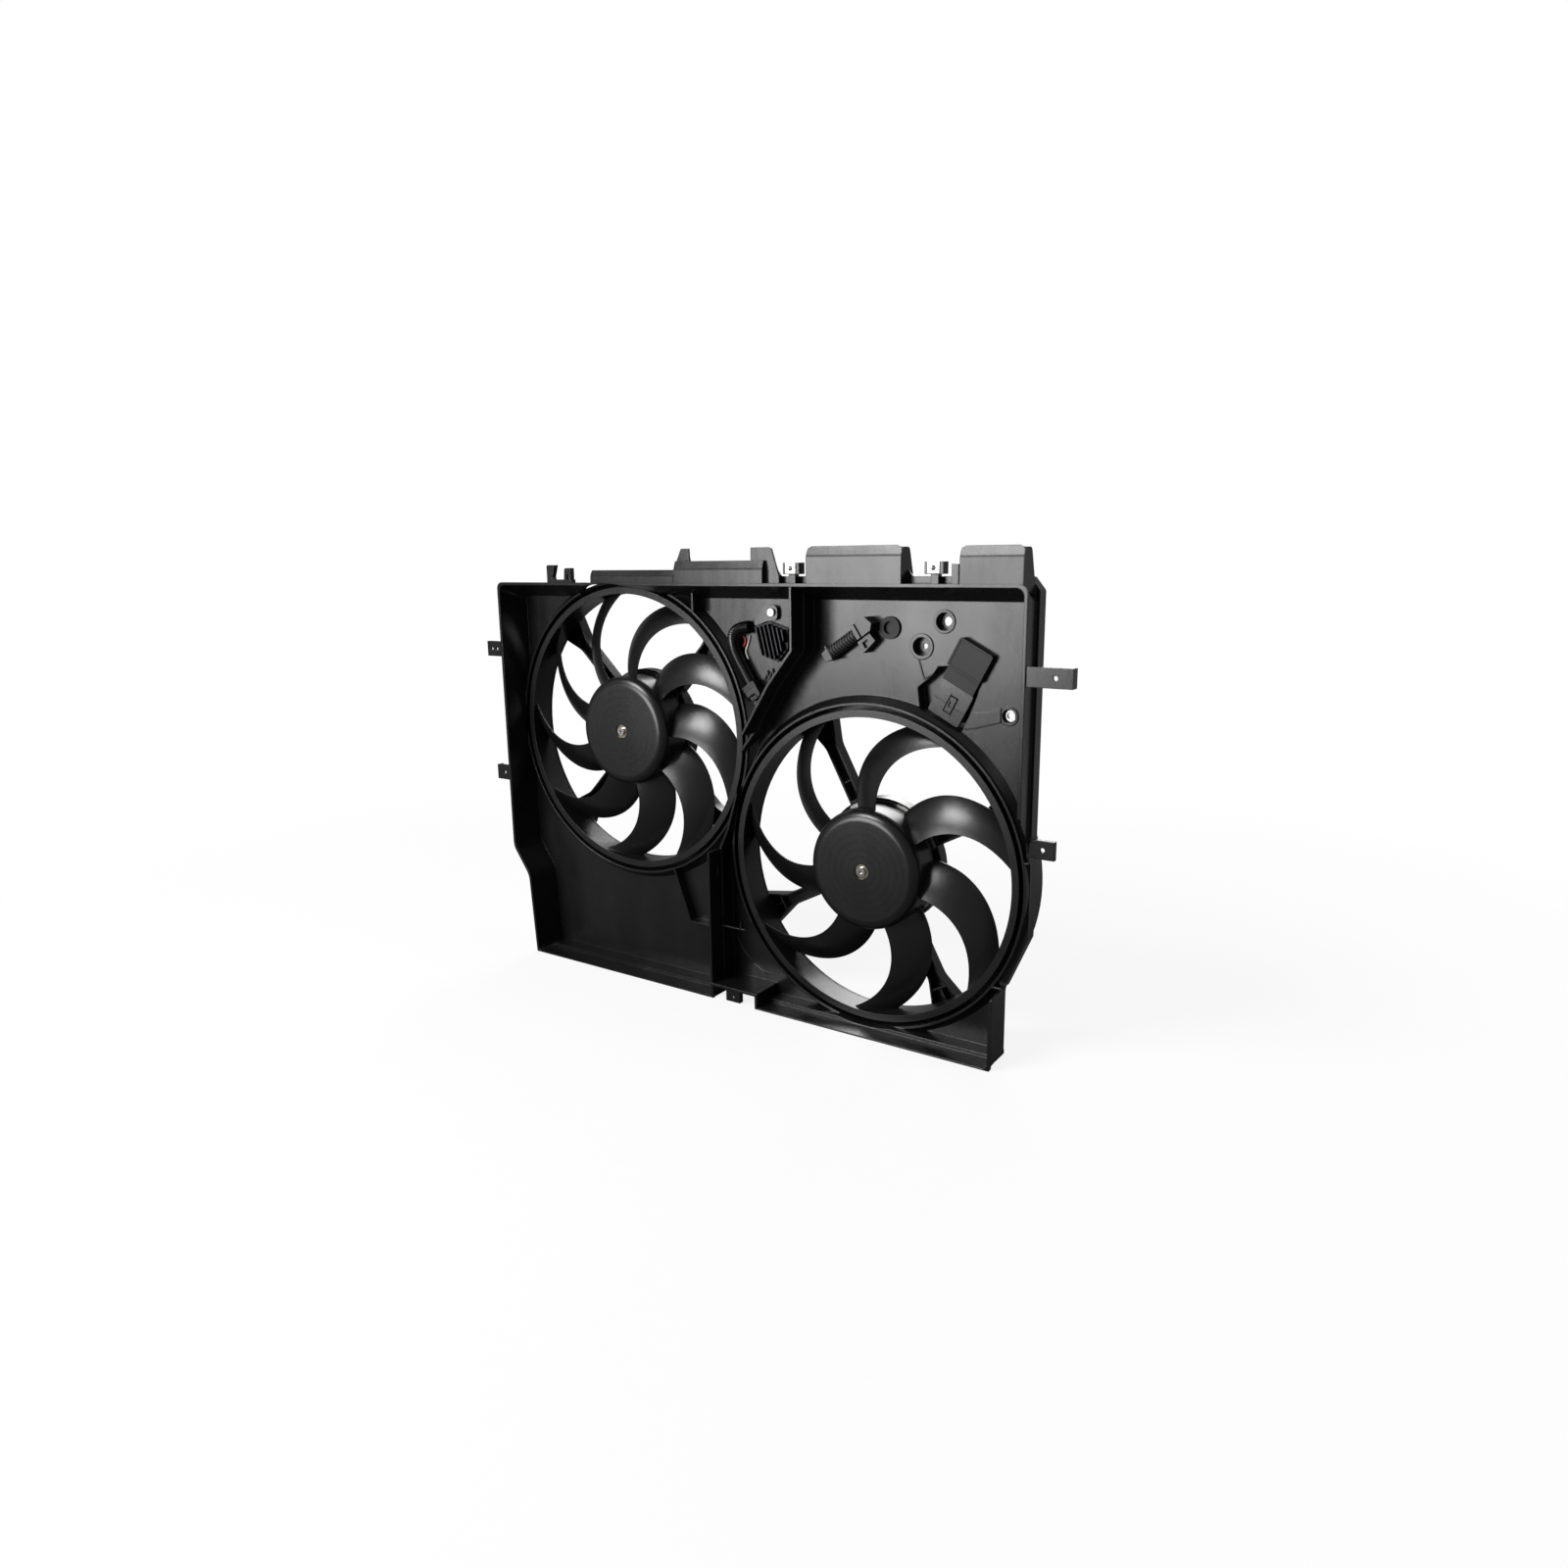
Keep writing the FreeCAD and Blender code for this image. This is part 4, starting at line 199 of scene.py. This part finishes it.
def moulded_black(name, tone, gloss, edge, cloud=1.0, rings_about=()):
    """Moulded skin of that tone and roughness; hubs also show faint turned rings about their axes."""
    finish = Finish(name)
    clouds = finish.noise(7.0, detail=4.0, roughness=0.62)
    streaks = finish.noise(24.0, roughness=0.5, stretch=(1.0, 1.0, 0.3), shift=(3.1, 0.7, 1.9))
    grain = finish.noise(2400.0, detail=2.0, roughness=0.6)
    speckle = finish.noise(520.0, detail=2.0, roughness=0.5)
    specks = finish.noise(900.0, detail=1.0, roughness=0.4, shift=(0.3, 2.2, 5.1))
    patch = finish.ramp(clouds, (0.36, 0.0), (0.66, 1.0))
    dust = finish.ramp(specks, (0.70, 0.0), (0.78, 1.0))
    dark = tuple(tone * share for share in (0.8, 0.8, 0.82))
    light = tuple(tone * share for share in (1.3, 1.3, 1.31))
    shade = patch * 0.55 + speckle * 0.25 + streaks * 0.2
    dull = (clouds - 0.5) * (0.22 * cloud) + (streaks - 0.5) * (0.12 * cloud)
    dull = dull + (grain - 0.5) * 0.06 + dust * 0.12
    for x, z in rings_about:
        near = finish.ramp(finish.away(x, z), (HUB_FACE_RADIUS, 1.0), (HUB_FACE_RADIUS + 0.0005, 0.0))
        dull = dull + (finish.away(x, z).wave(HUB_RING_PITCH) - 0.5) * near * HUB_RING_DULLNESS
    flow = finish.bump(streaks, STREAK_DEPTH * cloud, finish.edges(edge))
    finish.set(
        base_color=finish.mix(shade, dark, light),
        roughness=gloss + dull,
        IOR=1.5,
        normal=finish.bump(grain, GRAIN_DEPTH, flow),
    )
    return finish.material


def dress(name, material):
    """Gives a piece of the frame its finish."""
    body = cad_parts[name]
    body.data.materials.clear()
    body.data.materials.append(material)


shroud_black = moulded_black("shroud_black", tone=0.005, gloss=0.25, edge=0.0014)
dress("shroud", shroud_black)


# Motors
# Each fan is driven by a brushed motor in a deep-drawn can, bolted to the shroud's ring by its plate.
# Cans, plates and nuts are pressed steel with a thin zinc layer; screws and shafts are turned.
# The plate and the can show between the blades and from behind; the rest is inside the can.

def metal(name, color, roughness, spangle=0.0, edge=0.0003):
    """Slightly uneven metal with fine marks; spangle is how much its crystals show."""
    finish = Finish(name)
    marks = finish.noise(900.0, detail=2.0, roughness=0.6, stretch=(1.0, 0.06, 1.0))
    stain = finish.noise(38.0, detail=4.0, roughness=0.6)
    cells = {"Vector": finish.place(), "Scale": 260.0}
    crystals = finish.add("ShaderNodeTexVoronoi", values=cells)
    shade = stain * 0.6 + marks * 0.25 + crystals * spangle
    low = tuple(c * 0.6 for c in color)
    finish.set(
        base_color=finish.mix(shade.clamped(), low, color),
        metallic=1.0,
        roughness=roughness + (stain - 0.5) * 0.25 + (marks - 0.5) * 0.12,
        normal=finish.bump(marks, GRAIN_DEPTH, finish.edges(edge)),
    )
    return finish.material


zinc = metal("zinc_plate", (0.66, 0.66, 0.64), roughness=0.32, spangle=0.15)
plated = metal("zinc_screw", (0.74, 0.73, 0.70), roughness=0.24)
spring_steel = metal("spring_steel", (0.50, 0.50, 0.49), roughness=0.26)
ferrite = metal("ferrite", (0.12, 0.12, 0.125), roughness=0.55)
lamination = metal("lamination", (0.42, 0.42, 0.43), roughness=0.38)
copper_enamel = metal("copper_enamel", (0.62, 0.25, 0.10), roughness=0.25)
copper_bare = metal("copper_bare", (0.80, 0.43, 0.25), roughness=0.3)
bronze = metal("bronze", (0.60, 0.42, 0.22), roughness=0.4)
hub_steel = metal("hub_steel", (0.62, 0.57, 0.46), roughness=0.22)
resin = moulded_black("resin", tone=0.08, gloss=0.5, edge=0.0003)
carbon = moulded_black("carbon", tone=0.02, gloss=0.6, edge=0.0002)

MOTOR_FINISH = {
    "motor_housing": zinc, "motor_mount_plate": zinc, "motor_end_cap": zinc,
    "motor_magnets": ferrite, "brush_card": resin, "brushes": carbon,
    "brush_springs": spring_steel, "front_bearing": bronze, "rear_bearing": bronze,
    "motor_screws": plated, "armature_core": lamination, "armature_windings": copper_enamel,
    "commutator": copper_bare, "motor_shaft": plated, "hub_washer": hub_steel,
    "hub_screw": plated,
}
for side in ("left", "right"):
    for part, material in MOTOR_FINISH.items():
        dress(side + "_" + part, material)


# Fans
# Each fan is one black moulding: a cup-shaped hub, sickle blades and a band that joins the tips.
# The left one has nine narrow blades and the right one seven, both raked the same way. A washer
# and a screw hold each on its motor's shaft.

LEFT_AXIS = (-0.19741, 0.33902)
RIGHT_AXIS = (0.17541, 0.2)

fan_black = moulded_black("fan_black", tone=0.005, gloss=0.28, edge=0.0007, cloud=0.5,
                          rings_about=(LEFT_AXIS, RIGHT_AXIS))
for side in ("left", "right"):
    dress(side + "_fan", fan_black)


# Resistor and loom
# The series resistor is a black-finished casting with fins, held to the panel by one screw.
# The left fan's feed runs down beside it in a convoluted sleeve that lies on the panel and ends in
# a ribbed plug. Short bits of a red and a white lead show next to it.

LOOM_LINE = [(0.00600, 0.48302), (-0.01600, 0.48202), (-0.02200, 0.46002), (-0.00600, 0.43302),
             (0.00700, 0.41302)]
LOOM_Y = -0.0135
LOOM_RIBS = {"Rib pitch": 0.0026, "Rib radius": 0.0071, "Rib thickness": 0.0009,
             "Core radius": 0.0068}


def ribbed_tree():
    """Tree that turns a line into a sleeve with a rib every pitch."""
    tree = bpy.data.node_groups.new("ribbed_sleeve", "GeometryNodeTree")
    face = tree.interface
    face.new_socket("Line", in_out="INPUT", socket_type="NodeSocketGeometry")
    inputs = {}
    for name in LOOM_RIBS:
        inputs[name] = face.new_socket(name, in_out="INPUT", socket_type="NodeSocketFloat")
    inputs["Finish"] = face.new_socket("Finish", in_out="INPUT", socket_type="NodeSocketMaterial")
    face.new_socket("Sleeve", in_out="OUTPUT", socket_type="NodeSocketGeometry")
    graph = Graph(tree)
    given = tree.nodes.new("NodeGroupInput")
    wire = {socket.name: Wire(graph, socket) for socket in given.outputs if socket.name}

    def ring(points, radius):
        values = {"Resolution": points, "Radius": radius}
        return graph.add("GeometryNodeCurvePrimitiveCircle", values=values)

    def swept(line, profile, caps=False):
        values = {0: line, "Profile Curve": profile, "Fill Caps": caps}
        return graph.add("GeometryNodeCurveToMesh", values=values)

    core = swept(wire["Line"], ring(24, wire["Core radius"]), caps=True)
    rib = swept(ring(24, wire["Rib radius"]), ring(6, wire["Rib thickness"]))
    run = {0: wire["Line"], "Length": wire["Rib pitch"]}
    spots = graph.add("GeometryNodeCurveToPoints", {"mode": "LENGTH"}, run)
    turned = Wire(graph, spots.socket.node.outputs["Rotation"])
    placed = {"Points": spots, "Instance": rib, "Rotation": turned}
    ribs = graph.add("GeometryNodeInstanceOnPoints", values=placed)
    joined = graph.add("GeometryNodeJoinGeometry", values={0: [core, ribs]})
    solid = graph.add("GeometryNodeRealizeInstances", values={0: joined})
    coated = {0: solid, "Material": wire["Finish"]}
    finished = graph.add("GeometryNodeSetMaterial", values=coated)
    output = tree.nodes.new("NodeGroupOutput")
    tree.links.new(finished.socket, output.inputs[0])
    return tree, inputs


sleeve_tree, sleeve_inputs = ribbed_tree()


def ribbed_sleeve(name, node, points, y, ribs, material):
    """Sleeve along a smooth line through the panel's front, in place of the frame's plain one."""
    line = bpy.data.curves.new(name + "_line", "CURVE")
    line.dimensions = "3D"
    spline = line.splines.new("NURBS")
    spline.points.add(len(points) - 1)
    for point, (x, z) in zip(spline.points, points):
        point.co = (x, y, z, 1.0)
    spline.order_u = 3
    spline.use_endpoint_u = True
    guide = bpy.data.objects.new(name + "_guide", line)
    bpy.context.scene.collection.objects.link(guide)
    modifier = guide.modifiers.new("ribs", "NODES")
    modifier.node_group = sleeve_tree
    for size, value in ribs.items():
        modifier[sleeve_inputs[size].identifier] = value
    modifier[sleeve_inputs["Finish"].identifier] = material
    shown = guide.evaluated_get(bpy.context.evaluated_depsgraph_get())
    mesh = bpy.data.meshes.new_from_object(shown)
    bpy.data.objects.remove(guide)
    mesh.shade_smooth()
    mesh.set_sharp_from_angle(angle=math.radians(50))
    piece = bpy.data.objects.new(name, mesh)
    bpy.context.scene.collection.objects.link(piece)
    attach(piece, "root")
    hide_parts(node)


def insulation(name, color):
    """Extruded wire covering, a little dirty."""
    finish = Finish(name)
    dirt = finish.noise(300.0)
    soiled = tuple(c * 0.6 for c in color)
    finish.set(base_color=finish.mix(dirt, soiled, color), roughness=0.28 + dirt * 0.2)
    return finish.material


part_black = moulded_black("part_black", tone=0.005, gloss=0.18, edge=0.0004, cloud=0.7)
ribbed_sleeve("loom_ribbed_sleeve", "loom_sleeve", LOOM_LINE, LOOM_Y, LOOM_RIBS, part_black)
dress("loom_plug", part_black)
dress("red_wire", insulation("red_wire_skin", (0.55, 0.025, 0.015)))
dress("white_wire", insulation("white_wire_skin", (0.62, 0.60, 0.56)))

blackened = metal("blackened_casting", (0.03, 0.03, 0.032), roughness=0.3)
dress("resistor_block", blackened)
dress("resistor_plate", part_black)
dress("resistor_screw", plated)


# Sensor harness
# A short ribbed conduit joins two moulded housings on the panel's upper half, left of the module.
# The housings are a slightly paler black than the shroud, and a soft grommet sits beside them.

HARNESS_LINE = [(0.12601, 0.45702), (0.14301, 0.46827), (0.16001, 0.47952)]
HARNESS_Y = -0.014
HARNESS_RIBS = {"Rib pitch": 0.0038, "Rib radius": 0.0073, "Rib thickness": 0.0011,
                "Core radius": 0.0062}

harness_black = moulded_black("harness_black", tone=0.018, gloss=0.3, edge=0.0003, cloud=0.3)
# The conduit's base tone is lifted well above the other black parts as a painted sheen, standing in
# for the highlights along its ribs.
conduit_painted_sheen = moulded_black("conduit_painted_sheen", tone=0.05, gloss=0.2, edge=0.0002, cloud=0.3)
module_black = moulded_black("module_black", tone=0.003, gloss=0.56, edge=0.0006, cloud=0.4)
ribbed_sleeve("harness_ribbed_conduit", "harness_conduit", HARNESS_LINE, HARNESS_Y, HARNESS_RIBS,
              conduit_painted_sheen)
for name in ("harness_end_plug", "harness_joint", "harness_side_plug"):
    dress(name, harness_black)
dress("harness_grommet", module_black)


# Control module and spring nuts
# The module's lid, plug and latch are moulded, and its base is a casting with a black finish.
# A steel sleeve lines its bracket's hole, and two plated spring nuts are pushed on the top posts.

for name in ("module_lid", "module_body"):
    dress(name, module_black)
for name in ("module_plug", "module_plug_latch"):
    dress(name, part_black)
dress("module_bracket_sleeve", spring_steel)
dress("top_spring_nuts", plated)


# Studio
# A white sweep under and behind the object, soft boxes high on the left, in front, right and behind.
# The sweep thins out into the white surround, so that it has no edge in any view.

FLOOR_HALF = 3.0             # metres
FLOOR_GLOW = 0.84            # seen by the camera alone, over what the lamps give
FADE_PER_METRE = 0.4         # the floor is whole to 0.7 m from the middle and gone at 1.55 m
SURROUND_SEEN = 1.0          # white
SURROUND_MIRRORED = 0.22     # less than white, to keep the black mouldings dark
SURROUND_LIGHT = 0.18
WHITE = (1.0, 1.0, 1.0)

floor_mesh = bpy.data.meshes.new("floor")
corners = [(-FLOOR_HALF, -FLOOR_HALF, 0), (FLOOR_HALF, -FLOOR_HALF, 0),
           (FLOOR_HALF, FLOOR_HALF, 0), (-FLOOR_HALF, FLOOR_HALF, 0)]
floor_mesh.from_pydata(corners, [], [(0, 1, 2, 3)])
floor = bpy.data.objects.new("floor", floor_mesh)
bpy.context.scene.collection.objects.link(floor)

paper = Finish("paper")
fibres = paper.noise(60.0)
seen = Wire(paper, paper.add("ShaderNodeLightPath").socket.node.outputs["Is Camera Ray"])
paper.set(
    base_color=paper.mix(fibres, (0.12, 0.12, 0.12), (0.13, 0.13, 0.13)),
    roughness=0.9,
    specular_ior_level=0.0,
)
glow = paper.add("ShaderNodeEmission", values={"Color": WHITE, "Strength": FLOOR_GLOW})
unlit = paper.add("ShaderNodeBsdfTransparent", values={"Color": (0.0, 0.0, 0.0)})
glow = paper.add("ShaderNodeMixShader", values={0: seen, 1: unlit, 2: glow})
lit = paper.add("ShaderNodeAddShader", values={0: Wire(paper, paper.surface.outputs[0]), 1: glow})
clear = paper.add("ShaderNodeBsdfTransparent")
across, along = paper.axis("X"), paper.axis("Y")
distance = (across * across + along * along).root()
fade = paper.ramp(distance * FADE_PER_METRE, (0.28, 1.0), (0.62, 0.0))
sweep = paper.add("ShaderNodeMixShader", values={0: fade, 1: clear, 2: lit})
paper.put(paper.tree.nodes["Material Output"].inputs["Surface"], sweep)
floor_mesh.materials.append(paper.material)

world = bpy.data.worlds.new("studio")
bpy.context.scene.world = world
world.use_nodes = True
surround = Graph(world.node_tree)
surround.tree.nodes.clear()
path = surround.add("ShaderNodeLightPath").socket.node
camera_ray = Wire(surround, path.outputs["Is Camera Ray"])
glossy_ray = Wire(surround, path.outputs["Is Glossy Ray"])
dim, mirrored, white = (
    surround.add("ShaderNodeBackground", values={"Color": WHITE, "Strength": strength})
    for strength in (SURROUND_LIGHT, SURROUND_MIRRORED, SURROUND_SEEN)
)
unseen = surround.add("ShaderNodeMixShader", values={0: glossy_ray, 1: dim, 2: mirrored})
whole = surround.add("ShaderNodeMixShader", values={0: camera_ray, 1: unseen, 2: white})
output = surround.tree.nodes.new("ShaderNodeOutputWorld")
surround.put(output.inputs["Surface"], whole)


def lamp(name, place, target, width, height, watts):
    """Soft box of that width and height in metres, turned to its target."""
    data = bpy.data.lights.new(name, "AREA")
    data.shape = "RECTANGLE"
    data.size, data.size_y = width, height
    data.energy = watts
    box = bpy.data.objects.new(name, data)
    box.location = Vector(place)
    aim = Vector(target) - box.location
    box.rotation_mode = "QUATERNION"
    box.rotation_quaternion = aim.to_track_quat("-Z", "Y")
    bpy.context.scene.collection.objects.link(box)


lamp("lamp_above", (-0.75, -1.5, 2.1), (0.0, 0.0, 0.3), width=1.0, height=0.8, watts=48.0)
lamp("lamp_front", (-0.95, -2.35, 0.76), (0.05, 0.0, 0.4), width=1.2, height=1.3, watts=48.0)
lamp("lamp_right", (2.0, 0.4, 1.3), (0.1, 0.0, 0.3), width=0.8, height=1.8, watts=16.0)
lamp("lamp_back", (-0.6, 2.3, 1.5), (0.0, 0.0, 0.3), width=1.4, height=1.2, watts=34.0)

bpy.context.scene.view_settings.view_transform = "Standard"
